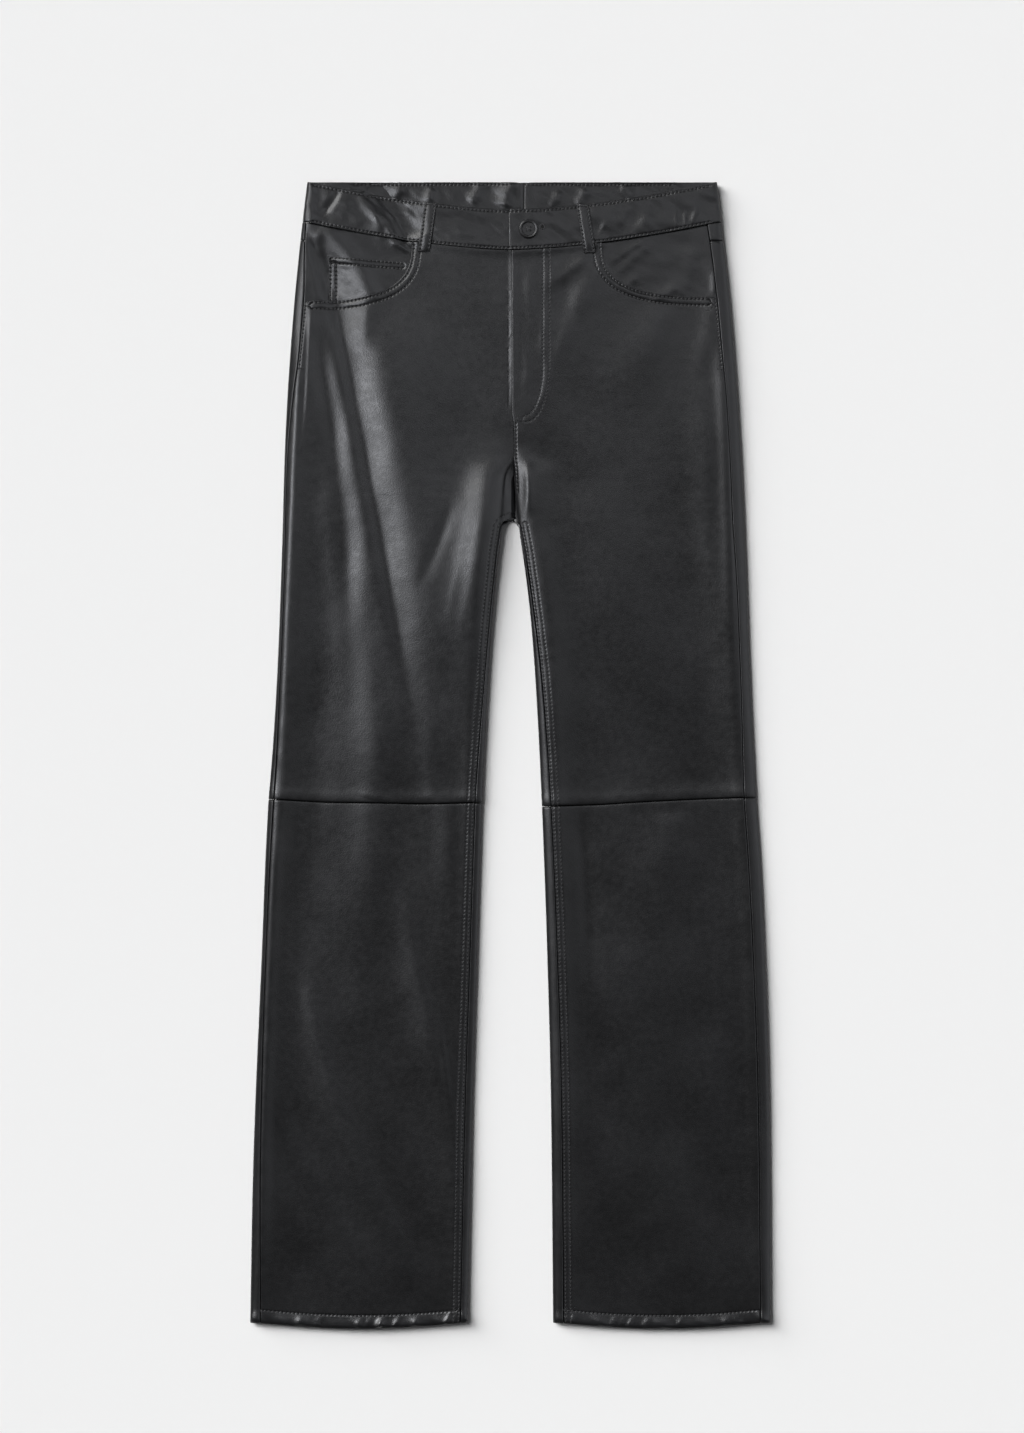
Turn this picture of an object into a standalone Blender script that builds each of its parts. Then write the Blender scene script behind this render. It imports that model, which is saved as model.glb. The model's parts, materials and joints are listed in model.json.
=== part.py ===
"""Straight leather trousers with five-pocket details, laid flat on their back with the front up.

Metres, +Z up. The origin is on the surface the trousers lie on, under the middle of their box.
+X is the wearer's left and +Y runs from the hems to the waist.

Each leather piece is a sheet of points on its outer face, and a Solidify modifier gives it its wall.
A half of the trousers is measured in q, the distance outwards from the middle line: x = SIGN * q.
"""

import math
from functools import lru_cache

import bmesh
import bpy
from mathutils import Vector

MM = 0.001
SIGN = {"right": -1, "left": 1}

# Leather and seams
WALL = 1.2 * MM  # one layer of leather with its lining
BAND_WALL = 2.4 * MM  # the waistband is two layers
LOOP_WALL = 1.2 * MM
SEAM_GAP = 0.4 * MM

# Heights along the garment, as Y
WAIST_BACK = 538.2 * MM  # top edge of the waistband at the back and at the sides
WAIST_DIP = 26 * MM  # how far the front top edge hangs below it in the middle
WAIST_DIP_POWER = 1.6
WAIST_HALF = 193 * MM
BAND_HEIGHT = 38 * MM
YOKE_SIDE = 17 * MM  # depth of the yoke below the waistband
YOKE_CENTRE = 50 * MM
FORK = 221 * MM  # where the legs part at the back
SLIT_TOP = 276 * MM  # where the fronts part, above the fork
FLY_BOTTOM = 310 * MM
KNEE = -45.6 * MM
HEM = -534.5 * MM  # corners of the hem
HEM_SAG = 5.5 * MM  # how far the front hem hangs lower in the middle
HEM_DEPTH = 12.5 * MM

# Outline of the garment in millimetres: y, then q of the outer edge of each half
OUTER_EDGES_MM = (
    (-540, 246.9, 243.4),
    (-419, 244.9, 243.0),
    (-325, 242.0, 242.0),
    (-184, 235.8, 237.6),
    (-99, 232.6, 233.6),
    (-46, 229.8, 230.0),
    (-5, 226.4, 227.9),
    (70, 221.6, 224.2),
    (145, 218.5, 221.4),
    (221, 216.0, 218.5),
    (277, 214.6, 215.8),
    (333, 212.0, 212.2),
    (425, 205.4, 205.0),
    (500, 197.6, 196.6),
    (539, 193.0, 192.4),
)
# The inner edge of each front: inseam side of the legs, then the slit, the centre seam and the fly
INNER_EDGES_MM = (
    (-540, 41.8, 38.1),
    (-325, 37.1, 36.0),
    (-184, 32.9, 32.4),
    (-46, 28.2, 27.4),
    (70, 22.4, 21.5),
    (145, 17.0, 15.5),
    (190, 12.2, 9.4),
    (221, 8.9, 4.9),
    (244, 8.0, 2.9),
    (262, 6.6, 2.0),
    (270, 3.2, 1.6),
    (277, -1.2, 1.5),
    (310, -1.2, 1.5),
    (318, -4.6, -0.5),
    (326, -8.0, -0.5),
    (480, -8.0, -0.5),
)
# How far the seams lie inside the edges, on the upper side: outseams, then inseams
SEAM_INSETS_MM = (
    (-540, 9.8, 10.4, 7.4, 10.0),
    (-325, 6.0, 11.0, 7.3, 10.0),
    (-184, 4.0, 11.5, 7.0, 9.5),
    (-46, 5.0, 12.0, 7.0, 8.5),
    (70, 3.0, 9.5, 4.0, 6.0),
    (145, 3.2, 9.5, 2.6, 3.0),
    (190, 3.0, 10.5, 2.2, 2.2),
    (221, 2.6, 11.5, 1.0, 1.0),
    (277, 3.0, 11.0, 1.0, 1.0),
    (340, 5.8, 11.0, 1.0, 1.0),
    (378, 8.8, 12.0, 1.0, 1.0),
    (425, 9.0, 12.3, 1.0, 1.0),
    (470, 5.0, 12.8, 1.0, 1.0),
    (500, 2.6, 13.5, 1.0, 1.0),
)
# Height of the upper side in millimetres: in the middle, on the rolls along the edges, at the edge
HEIGHTS_MM = (
    (-540, 6.0, 7.2, 3.2),
    (-500, 5.6, 7.4, 3.2),
    (-300, 5.0, 7.6, 3.2),
    (-46, 5.0, 7.8, 3.3),
    (70, 5.2, 8.6, 3.4),
    (221, 5.8, 9.0, 3.6),
    (330, 6.4, 8.8, 3.8),
    (430, 6.8, 8.6, 4.0),
    (500, 7.2, 8.2, 4.6),
)
# Knee seams: offset in millimetres at five places from the outseam to the inseam
KNEE_LINES_MM = {"right": (3.4, 0.4, 0.0, -1.2, 0.2), "left": (5.0, 3.4, 1.2, -1.8, -3.2)}

EDGE_RADIUS = 1.7 * MM  # radius of the wall at the very edge
HEM_EDGE_RADIUS = 2.7 * MM
ROLL_FALL = 24 * MM  # width over which a roll sinks to the middle height
KNEE_RIDGE = 0.9 * MM  # the seam allowance is pressed up above the knee seam
KNEE_RIDGE_WIDTH = 10 * MM

# Slit at the crotch: the right front folds over and comes back to the centre seam low down
SLIT_DROP = 0.1 * MM  # the edge is this much lower in the slit
SLIT_FLOOR = 3.3 * MM
SLIT_ENDS = (219 * MM, 222 * MM, 268 * MM, 277 * MM)
SLIT_COLUMNS = 3
SLIT_COLUMNS_WIDTHS = (3 * MM, 0.9 * MM)  # their width on the legs, and just below the fork
SLIT_COLUMNS_FADE = (150 * MM, 217 * MM)
BACK_PARTING = (209 * MM, 219 * MM)  # over this height the backs turn up into the inseams

# Folds of the fronts in millimetres: start, middle and end points, height, then width of each flank
FOLDS_MM = (
    ("pocket_to_thigh", (-176, 410), (-158, 235), (-130, 20), 3.0, 10, 14),
    ("hip_to_knee", (-150, 412), (-115, 235), (-76, -5), 4.4, 13, 36),
    ("crotch_to_thigh", (-15, 296), (-36, 195), (-60, 80), 2.6, 13, 12),
    ("above_right_knee", (-132, 70), (-128, 10), (-124, -36), 2.2, 30, 30),
    ("fly_to_loop", (30, 436), (50, 456), (74, 468), 1.4, 7, 9),
    ("loop_to_hip", (80, 468), (60, 420), (52, 350), 1.6, 10, 12),
    ("left_hip", (128, 418), (117, 385), (100, 330), 1.6, 14, 16),
    ("left_thigh", (60, 250), (96, 150), (128, 20), 1.8, 22, 34),
    ("beside_crotch", (10, 292), (11, 262), (15, 226), 1.4, 5, 7),
    ("right_calf", (-96, -110), (-72, -290), (-54, -440), 2.0, 14, 20),
    ("right_shin", (-198, -190), (-150, -360), (-84, -490), 2.0, 13, 20),
    ("below_right_knee", (-138, -58), (-142, -120), (-146, -200), 1.6, 26, 26),
    ("left_shin", (140, -60), (136, -180), (150, -330), 1.6, 22, 26),
    ("left_calf", (84, -300), (118, -400), (164, -480), 1.5, 20, 24),
)
FOLD_STEPS = 10
FOLD_CLEAR = (5 * MM, 18 * MM)  # folds fade out between these distances from an edge

# Fly and waistband closure
FLY_LIFT = 1.6 * MM  # the left front lies over the right one
FLY_WIDTH = 35 * MM
FLY_FADE = 12 * MM
FLY_RAMP = 34 * MM  # height over which that lift grows, below the bottom of the fly
ZIP_START = 8.6 * MM
ZIP_WIDTH = 20 * MM
BAND_TOP = 8.3 * MM
BAND_TOP_AT_LAP = {"right": 7.0 * MM, "left": 9.7 * MM}
BAND_END = {"right": -20 * MM, "left": -3.5 * MM}  # q of the front ends: the left lies over the right
LAP_EASE = (24 * MM, 58 * MM)
LOOP_RISE = 1.5 * MM  # the loops at the back lift the waistband by this
CENTRE_BACK_TOP = 10.8 * MM  # x of the centre back seam at the waist

# Pocket mouths, as quarter superellipses: q at the waistband, y at the outseam
MOUTH_X = {"right": 94.6 * MM, "left": 84 * MM}
MOUTH_LOW = {"right": 426.4 * MM, "left": 430.0 * MM}
MOUTH_HIGH = 480 * MM
MOUTH_POWER = 2.8
MOUTH_STEPS = 11
MOUTH_LEVEL = 396 * MM  # y at the middle line of the row that ends at the mouth's corner
FACING_HIDDEN = 12 * MM  # how far the facing runs on under the front

# Coin pocket on the right facing
COIN_X = 172.4 * MM
COIN_TOP = 468 * MM
COIN_SLOPE = 0.076  # the top edge falls towards the middle
COIN_HIDDEN = 8 * MM

# Belt loops: x in millimetres of the top and the foot of the front ones, and of the back ones
LOOP_WIDTH = 11 * MM
LOOP_BELOW = 8.5 * MM  # the front loops run on below the waistband
LOOP_ARCH = 1.0 * MM
FRONT_LOOPS_MM = {"right": (-77, -83.5), "left": (65.5, 72.5)}
BACK_LOOPS_MM = {"right": -128, "centre": 10.8, "left": 140}
BACK_LOOP_LENGTH = 46 * MM

# Button
BUTTON_X = 15.0 * MM
BUTTON_Y = 493.4 * MM
BUTTON_RADIUS = 9 * MM
BUTTON_THICK = 3 * MM
BUTTON_HOLE = 0.9 * MM
BUTTON_HOLE_AT = 1.7 * MM
BUTTON_PROFILE = (  # shares of the radius and of the thickness, from the middle of the back to that of the front
    (0, 0),
    (0.82, 0),
    (0.97, 0.3),
    (1, 0.55),
    (0.95, 0.85),
    (0.85, 1),
    (0.73, 0.92),
    (0.66, 0.62),
    (0, 0.62),
)

# Rows and columns of the sheets
FRONT_EDGE_STEPS = (0, 1.4 * MM, 4.4 * MM, 9 * MM, 15 * MM)
FRONT_MIDDLE_COUNT = 8
STRIP_SHARES = (0, 0.02, 0.12, 0.32, 0.62, 1)  # columns from the edge to the seam on the upper side
UNDER_ANGLES = (30, 60, 90)
FLOOR_COLUMNS = 5
KNEE_STEPS_MM = (0, 2.5, 8, 13)  # rows above the knee seam
CROTCH_LEVELS_MM = (219, 222, 228, 238, 250, 261, 268, 273, 278, 285, 292, 299, 305, 311, 318, 326)
HIP_LEVELS_MM = (340, 354, 366, 378)
PARTING_STEPS = (0.5, 0.8, 0.95, 1)  # rows where the backs turn up into the inseams
HEM_STEPS = (0, 0.012, HEM_DEPTH / (KNEE - HEM))  # 0 at the hem, 1 at the knee seam
LEG_STEPS = (0.06, 0.97, 13)
FACING_STEPS = (0.008, 0.04, 0.11, 0.22, 0.36, 0.52, 0.68, 0.84, 1)
COIN_STEPS = (0.02, 0.1, 0.25, 0.45, 0.65, 0.85, 1)
FRONT_LOOP_STEPS = (0, 0.1, 0.2, 0.35, 0.55, 0.75, 0.9, 1)
FRONT_LOOP_CROWN = ((-0.5, 0), (-0.25, 0.25), (0, 0.35), (0.25, 0.25), (0.5, 0))  # share across, mm up
BACK_NEAR = 26 * MM  # q up to which the columns of the back are close together
KNEE_SLANT = (12 * MM, 70 * MM)  # above the knee, the rows lose the slant of its seam
SIDE_SLANT = 330 * MM  # from here up, the rows run down towards the pocket corner
BACK_SLANT = 380 * MM
LOOP_SLANT = (460 * MM, 488 * MM)

LEATHER_COLOUR = (0.016, 0.016, 0.018, 1)
BUTTON_COLOUR = (0.02, 0.02, 0.02, 1)
ZIP_COLOUR = (0.02, 0.02, 0.022, 1)


def monotone_curve(rows, column):
    """A smooth curve through one column of a table in millimetres, as a function of its first, in metres."""
    ys = [row[0] * MM for row in rows]
    values = [row[column] * MM for row in rows]
    steps = [b - a for a, b in zip(ys, ys[1:])]
    rates = [(b - a) / step for a, b, step in zip(values, values[1:], steps)]
    slopes = [rates[0]]
    for before, after in zip(rates, rates[1:]):
        slopes.append(0 if before * after <= 0 else 2 * before * after / (before + after))
    slopes.append(rates[-1])

    def value_at(y):
        y = min(max(y, ys[0]), ys[-1])
        i = max(k for k in range(len(steps)) if ys[k] <= y)
        t = (y - ys[i]) / steps[i]
        rise = values[i + 1] - values[i]
        start, end = slopes[i] * steps[i], slopes[i + 1] * steps[i]
        return values[i] + t * start + t * t * (3 * rise - 2 * start - end) + t**3 * (start + end - 2 * rise)

    return value_at


def side_curves(rows, first_column):
    return {
        "right": monotone_curve(rows, first_column),
        "left": monotone_curve(rows, first_column + 1),
    }


outer_edge = side_curves(OUTER_EDGES_MM, 1)
inner_edge = side_curves(INNER_EDGES_MM, 1)
outseam_inset = side_curves(SEAM_INSETS_MM, 1)
inseam_inset = side_curves(SEAM_INSETS_MM, 3)
middle_height = monotone_curve(HEIGHTS_MM, 1)
roll_height = monotone_curve(HEIGHTS_MM, 2)
edge_height = monotone_curve(HEIGHTS_MM, 3)


def ramp(value, start, end):
    """0 before start, 1 after end, and a smooth rise between them."""
    t = min(max((value - start) / (end - start), 0), 1)
    return t * t * (3 - 2 * t)


def between(a, b, share):
    return a + (b - a) * share


def edge_radius(y):
    return between(HEM_EDGE_RADIUS, EDGE_RADIUS, ramp(y, HEM + HEM_DEPTH, HEM + 5 * HEM_DEPTH))


def roll(distance, middle, crest, edge, radius):
    """Height above the middle of the leather near an edge: an ellipse up to the crest, then a soft fall."""
    rise = crest - edge
    width = rise * rise / radius
    if distance < width:
        return edge + rise * math.sqrt(max(1 - (1 - distance / width) ** 2, 0)) - middle
    return (crest - middle) * (1 - ramp(distance, width, width + ROLL_FALL))


@lru_cache(maxsize=None)
def fold_line(start, through, end):
    """Points along the arc of a fold that runs from start through its middle to its end."""
    start, through, end = (Vector(p) * MM for p in (start, through, end))
    control = 2 * through - (start + end) / 2
    points = []
    for k in range(FOLD_STEPS + 1):
        t = k / FOLD_STEPS
        points.append((1 - t) ** 2 * start + 2 * t * (1 - t) * control + t * t * end)
    return points


def fold_height(x, y, fold):
    """Height that one fold adds at a point: a bump across its line that dies away towards both ends."""
    _, start, through, end, height, west_width, east_width = fold
    line = fold_line(start, through, end)
    point = Vector((x, y))
    nearest, share = None, 0
    for k, (a, b) in enumerate(zip(line, line[1:])):
        along = b - a
        t = min(max((point - a).dot(along) / along.length_squared, 0), 1)
        away = point - a - along * t
        if nearest is None or away.length < nearest.length:
            nearest, share = away, (k + t) / FOLD_STEPS
    width = (west_width if nearest.x < 0 else east_width) * MM
    return height * MM * math.sin(math.pi * share) ** 0.6 * math.exp(-((nearest.length / width) ** 2))


def fly_lift(side, q, y):
    """The left front is raised where it lies over the right one and over the zip."""
    if side == "right":
        return 0
    along = ramp(y, FLY_BOTTOM - FLY_RAMP, FLY_BOTTOM)
    return FLY_LIFT * along * (1 - ramp(q, FLY_WIDTH, FLY_WIDTH + FLY_FADE))


def front_height(side, q, y):
    """Z of the outer face of the front, and of the strips of the back that come round to it."""
    middle, crest, edge = middle_height(y), roll_height(y), edge_height(y)
    from_outer = outer_edge[side](y) - q
    from_inner = q - inner_edge[side](y)
    parted = 1 - ramp(y, SLIT_TOP - 14 * MM, SLIT_TOP + 6 * MM)
    slit_edge = edge - SLIT_DROP * ramp(y, FORK - 8 * MM, FORK)
    height = middle + roll(max(from_outer, 0), middle, crest, edge, edge_radius(y))
    height += parted * roll(max(from_inner, 0), middle, crest, slit_edge, edge_radius(y))
    above_knee = y - KNEE - knee_offset(side, from_outer / (from_outer + from_inner))
    fall = ramp(above_knee, 0.7 * KNEE_RIDGE_WIDTH, 1.4 * KNEE_RIDGE_WIDTH)
    height += KNEE_RIDGE * ramp(above_knee, -1 * MM, 2 * MM) * (1 - fall)
    clear = ramp(from_outer, *FOLD_CLEAR) * max(ramp(from_inner, *FOLD_CLEAR), 1 - parted)
    height += clear * sum(fold_height(SIGN[side] * q, y, fold) for fold in FOLDS_MM)
    return height + fly_lift(side, q, y)


def front_point(side, q, y, lift=0):
    """A point on the front, moved out along its normal by lift."""
    step = 0.4 * MM
    sign = SIGN[side]
    place = Vector((sign * q, y, front_height(side, q, y)))
    if not lift:
        return place
    along_q = Vector((sign * 2 * step, 0, front_height(side, q + step, y) - front_height(side, q - step, y)))
    along_y = Vector((0, 2 * step, front_height(side, q, y + step) - front_height(side, q, y - step)))
    normal = along_q.cross(along_y).normalized()
    return place + normal * (lift * sign)


def under_height(y):
    """Z of the underside: on the floor, and lifted by the belt loops at the waist."""
    return LOOP_RISE * ramp(y, *LOOP_SLANT)


def waist_dip(q):
    """How far the front top edge lies below the back one."""
    return WAIST_DIP * (1 - min(abs(q) / WAIST_HALF, 1) ** WAIST_DIP_POWER)


def front_waist_seam(q):
    return WAIST_BACK - BAND_HEIGHT - waist_dip(q)


def knee_offset(side, share):
    """Offset of the knee seam at a share of the way from the outseam to the inseam."""
    places = KNEE_LINES_MM[side]
    at = min(max(share, 0), 1) * (len(places) - 1)
    i = min(int(at), len(places) - 2)
    return between(places[i], places[i + 1], at - i) * MM


def centre_back(side, y):
    """q of the centre back seam, which leans from the fork to the waist."""
    return SIGN[side] * CENTRE_BACK_TOP * ramp(y, FORK, WAIST_BACK)


def material(name, colour, roughness, metallic=0):
    made = bpy.data.materials.new(name)
    made.use_nodes = True
    shader = made.node_tree.nodes["Principled BSDF"]
    shader.inputs["Base Color"].default_value = colour
    shader.inputs["Roughness"].default_value = roughness
    shader.inputs["Metallic"].default_value = metallic
    return made


def new_object(name, mesh, finish):
    made = bpy.data.objects.new(name, mesh)
    bpy.context.scene.collection.objects.link(made)
    mesh.materials.append(finish)
    mesh.shade_smooth()
    return made


def sheet(name, rows, wall, finish, doubled_rows=0):
    """Leather whose outer face runs through rows of points, with its wall on the inner side.

    The first doubled_rows are two layers thick.
    """
    count = len(rows[0])
    points = [p for row in rows for p in row]
    faces = [
        (i * count + j, i * count + j + 1, (i + 1) * count + j + 1, (i + 1) * count + j)
        for i in range(len(rows) - 1)
        for j in range(count - 1)
    ]
    mesh = bpy.data.meshes.new(name)
    mesh.from_pydata(points, [], faces)
    made = new_object(name, mesh, finish)
    solidify = made.modifiers.new("wall", "SOLIDIFY")
    solidify.thickness = wall
    solidify.offset = -1
    solidify.use_even_offset = True
    if doubled_rows:
        doubled = made.vertex_groups.new(name="doubled")
        doubled.add(list(range(doubled_rows * count)), 1, "REPLACE")
        solidify.thickness = 2 * wall
        solidify.vertex_group = "doubled"
        solidify.thickness_vertex_group = 0.5
    return made


def facing_up(side, rows):
    """Rows that run outwards from the middle line, in the order that turns their faces up."""
    return rows if side == "left" else [row[::-1] for row in rows]


def facing_down(side, rows):
    """Rows that run outwards along the floor, in the order that turns their faces down."""
    return rows if side == "right" else [row[::-1] for row in rows]


def steps_across(start, end, edge_steps, middle_count, anchor=None):
    """Places from start to end, close together near both ends and even between them.

    anchor is where the close ones near the start end, if not a whole edge step away from it.
    """
    sign = 1 if end > start else -1
    reach = sign * (anchor - start) / edge_steps[-1] if anchor is not None else 1
    near = [start + sign * step * reach for step in edge_steps]
    far = [end - sign * step for step in reversed(edge_steps)]
    gap = (far[0] - near[-1]) / (middle_count + 1)
    return near + [near[-1] + gap * (k + 1) for k in range(middle_count)] + far


def evenly(start, end, count):
    return [between(start, end, k / count) for k in range(count + 1)]


def leg_steps():
    """Shares of the way up the lower leg at which its rows lie."""
    return (*HEM_STEPS, *evenly(*LEG_STEPS), 1)


def front_seams(side, y, inner_y):
    """q of the two edges of the front panel: at the outseam, and at the inseam, slit or centre."""
    half_gap = SEAM_GAP / 2
    outer = outer_edge[side](y) - outseam_inset[side](y) - half_gap
    in_leg = 1 - ramp(inner_y, FORK - 2 * MM, FORK)
    return outer, inner_edge[side](inner_y) + in_leg * (inseam_inset[side](inner_y) + half_gap)


def front_upper_row(side, level, outer_q, outer_y, bend):
    """One row of the front above the knee, from the middle line outwards to (outer_q, outer_y).

    level is its y at the middle line. bend goes from 0 to 1 as the row takes the dip of the waist.
    """
    to_knee = rise_to_knee(level)
    inner = front_seams(side, outer_y, level + to_knee * knee_offset(side, 1))[1]
    seam_q, slit = inner, 0
    if side == "right":
        above_fork = ramp(level, *SLIT_ENDS[:2])
        slit = above_fork * (1 - ramp(level, *SLIT_ENDS[2:]))
        seam_q = between(inner, min(inner, SEAM_GAP - inner_edge["left"](level)), above_fork)
    end = inner + between(*SLIT_COLUMNS_WIDTHS, to_fork(side, level)) * (1 - slit)
    row = []
    anchor = column_anchor(side, level)
    for q in steps_across(end, outer_q, FRONT_EDGE_STEPS, FRONT_MIDDLE_COUNT, anchor):
        share = (outer_q - q) / (outer_q - inner)
        dip = between(waist_dip(outer_q), waist_dip(inner), share) - waist_dip(q)
        y = between(outer_y, level, share) + bend * dip + to_knee * knee_offset(side, share)
        row.append(front_point(side, q, y))
    for k in range(1, SLIT_COLUMNS + 1):
        q = between(end, seam_q, k / SLIT_COLUMNS)
        y = level + to_knee * knee_offset(side, 1)
        top = front_height(side, max(q, inner), y)
        row.insert(0, Vector((SIGN[side] * q, y, between(top, SLIT_FLOOR, slit))))
    return row


def column_anchor(side, level):
    """q of the column that bounds the close ones at the inner edge; it moves evenly past fork and fly."""
    low = min(level, FORK)
    past = max(level - FORK, 0) / (front_waist_seam(0) - FORK)
    edge = between(inner_edge[side](low), inner_edge[side](front_waist_seam(0)), past)
    return edge + inseam_inset[side](low) + SLIT_COLUMNS_WIDTHS[0] + FRONT_EDGE_STEPS[-1]


def to_fork(side, level):
    """0 on the leg and 1 at the fork and above it on the right, but 0 again where the fronts meet."""
    if side == "left":
        return 0
    return ramp(level, *SLIT_COLUMNS_FADE) * (1 - ramp(level, *SLIT_ENDS[2:]))


def rise_to_knee(level):
    """1 at the knee seam and 0 well above it, for rows that take the slant of the seam."""
    return 1 - ramp(level - KNEE, *KNEE_SLANT)


def front_upper_levels():
    """Row heights from the knee to below the pocket mouths, closer at the crotch and at the fly's end."""
    knee = [KNEE + SEAM_GAP / 2 + step * MM for step in KNEE_STEPS_MM]
    legs = evenly(KNEE + 32 * MM, FORK - 6 * MM, 9)
    return knee + legs + [y * MM for y in (*CROTCH_LEVELS_MM, *HIP_LEVELS_MM)]


def mouth_side(side):
    """q where the pocket mouth meets the outseam."""
    return front_seams(side, MOUTH_LOW[side], 0)[0]


def mouth_inner(side, y, grow=0):
    """q of the pocket mouth at a height; grow moves the curve outwards under the front."""
    low = MOUTH_LOW[side] - grow
    down = min(max((MOUTH_HIGH - y) / (MOUTH_HIGH - low), 0), 1)
    wide = mouth_side(side) - MOUTH_X[side] + grow
    return mouth_side(side) - wide * (1 - down**MOUTH_POWER) ** (1 / MOUTH_POWER)


def pocket_mouth(side):
    """The pocket's curved mouth from the outseam to the waistband, as (q, y) points."""
    wide, high = mouth_side(side) - MOUTH_X[side], MOUTH_HIGH - MOUTH_LOW[side]
    points = [(mouth_side(side), MOUTH_LOW[side])]
    for k in range(1, MOUTH_STEPS):
        turn = math.pi / 2 * k / MOUTH_STEPS
        across, down = math.sin(turn) ** (2 / MOUTH_POWER), math.cos(turn) ** (2 / MOUTH_POWER)
        points.append((mouth_side(side) - wide * across, MOUTH_HIGH - high * down))
    top = front_waist_seam(MOUTH_X[side]) - SEAM_GAP / 2
    return points + [(MOUTH_X[side], MOUTH_HIGH), (MOUTH_X[side], top)]


def make_front_upper(side, finish):
    """Rows reach the outseam up to the pocket, and above it they end at the curve of its mouth."""
    rows = []
    for level in front_upper_levels():
        outer_y = level + ramp(level, SIDE_SLANT, MOUTH_LEVEL) * (MOUTH_LOW[side] - MOUTH_LEVEL)
        outer_q = front_seams(side, outer_y + rise_to_knee(level) * knee_offset(side, 0), level)[0]
        rows.append(front_upper_row(side, level, outer_q, outer_y, 0))
    mouth = pocket_mouth(side)
    for k, (q, y) in enumerate(mouth):
        bend = k / (len(mouth) - 1)
        level = between(MOUTH_LEVEL, front_waist_seam(0) - SEAM_GAP / 2, bend)
        rows.append(front_upper_row(side, level, q, y, bend))
    return sheet("front_upper_" + side, facing_up(side, rows), WALL, finish)


def hem_y(share):
    """The front hem hangs lowest in the middle of each leg."""
    return HEM - HEM_SAG * (1 - (2 * share - 1) ** 2)


def front_lower_row(side, step):
    """One row of the front below the knee; step is 0 at the hem and 1 at the knee seam."""

    def y_at(share):
        return between(hem_y(share), KNEE + knee_offset(side, share) - SEAM_GAP / 2, step)

    outer, inner = front_seams(side, y_at(0), y_at(1))
    row = []
    for q in steps_across(inner, outer, FRONT_EDGE_STEPS, FRONT_MIDDLE_COUNT):
        row.append(front_point(side, q, y_at((outer - q) / (outer - inner))))
    return row


def make_front_lower(side, finish):
    rows = [front_lower_row(side, step) for step in leg_steps()]
    return sheet("front_lower_" + side, facing_up(side, rows), WALL, finish, doubled_rows=len(HEM_STEPS))


def wrap_points(side, edge_q, inwards, inset, y):
    """Points round one edge of a half, from the floor under it to the seam on the upper side.

    inwards is +1 where the garment lies at larger q than the edge, and -1 where it lies at smaller q.
    """
    under, edge = under_height(y), front_height(side, edge_q, y)
    drop = edge - under
    width = drop * drop / edge_radius(y)
    points = []
    for angle in reversed(UNDER_ANGLES):
        turn = math.radians(angle)
        q = edge_q + inwards * width * (1 - math.cos(turn))
        points.append(Vector((SIGN[side] * q, y, edge - drop * math.sin(turn))))
    for share in STRIP_SHARES:
        q = edge_q + inwards * share * (inset - SEAM_GAP / 2)
        points.append(Vector((SIGN[side] * q, y, front_height(side, q, y))))
    return points


def floor_points(side, start, end, count):
    """Points on the floor strictly between two places."""
    points = []
    for k in range(1, count + 1):
        point = start.lerp(end, k / (count + 1))
        point.z = under_height(point.y)
        points.append(point)
    return points


def back_leg_row(side, outer_y, inner_y):
    """A row of the back round a leg, from the inseam under the leg to the outseam."""
    outer = wrap_points(side, outer_edge[side](outer_y), -1, outseam_inset[side](outer_y), outer_y)
    inner = wrap_points(side, inner_edge[side](inner_y), 1, inseam_inset[side](inner_y), inner_y)
    return inner[::-1] + floor_points(side, inner[0], outer[0], FLOOR_COLUMNS) + outer


def back_hip_row(side, outer_y, inner_y):
    """A row of the back above the fork, from the centre back seam to the outseam."""
    outer = wrap_points(side, outer_edge[side](outer_y), -1, outseam_inset[side](outer_y), outer_y)
    centre = Vector((SIGN[side] * (centre_back(side, inner_y) + SEAM_GAP / 2), inner_y, under_height(inner_y)))
    near = Vector((SIGN[side] * BACK_NEAR, inner_y, 0))
    count = len(UNDER_ANGLES) + len(STRIP_SHARES)
    spread = floor_points(side, centre, near, count - 1)
    near.z = under_height(inner_y)
    return [centre, *spread, *floor_points(side, near, outer[0], FLOOR_COLUMNS), *outer]


def back_upper_row(side, level):
    """One row of the back above the knee. level is its y at the middle line."""
    to_knee = rise_to_knee(level)
    to_yoke = ramp(level, BACK_SLANT, yoke_seam(0) - SEAM_GAP / 2)
    outer_y = level + to_knee * knee_offset(side, 0) + to_yoke * (YOKE_CENTRE - YOKE_SIDE)
    inner_y = level + to_knee * knee_offset(side, 1)
    if level <= BACK_PARTING[0]:
        return back_leg_row(side, outer_y, inner_y)
    if level >= BACK_PARTING[1]:
        return back_hip_row(side, outer_y, inner_y)
    rise = (level - BACK_PARTING[0]) / (BACK_PARTING[1] - BACK_PARTING[0])
    share = 1 - math.sqrt(1 - rise * rise)
    pairs = zip(back_leg_row(side, outer_y, inner_y), back_hip_row(side, outer_y, inner_y))
    return [leg.lerp(hip, share) for leg, hip in pairs]


def back_upper_levels():
    knee = [KNEE + SEAM_GAP / 2 + step * MM for step in KNEE_STEPS_MM]
    legs = evenly(KNEE + 40 * MM, BACK_PARTING[0], 6)
    fork = [between(*BACK_PARTING, step) for step in PARTING_STEPS]
    seat = evenly(240 * MM, 340 * MM, 3) + evenly(354 * MM, yoke_seam(0) - SEAM_GAP / 2, 6)
    return knee + legs + fork + seat


def yoke_seam(share):
    """y of the seam between back and yoke, from the centre back (0) to the side (1)."""
    return WAIST_BACK - BAND_HEIGHT - between(YOKE_CENTRE, YOKE_SIDE, share)


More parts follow.
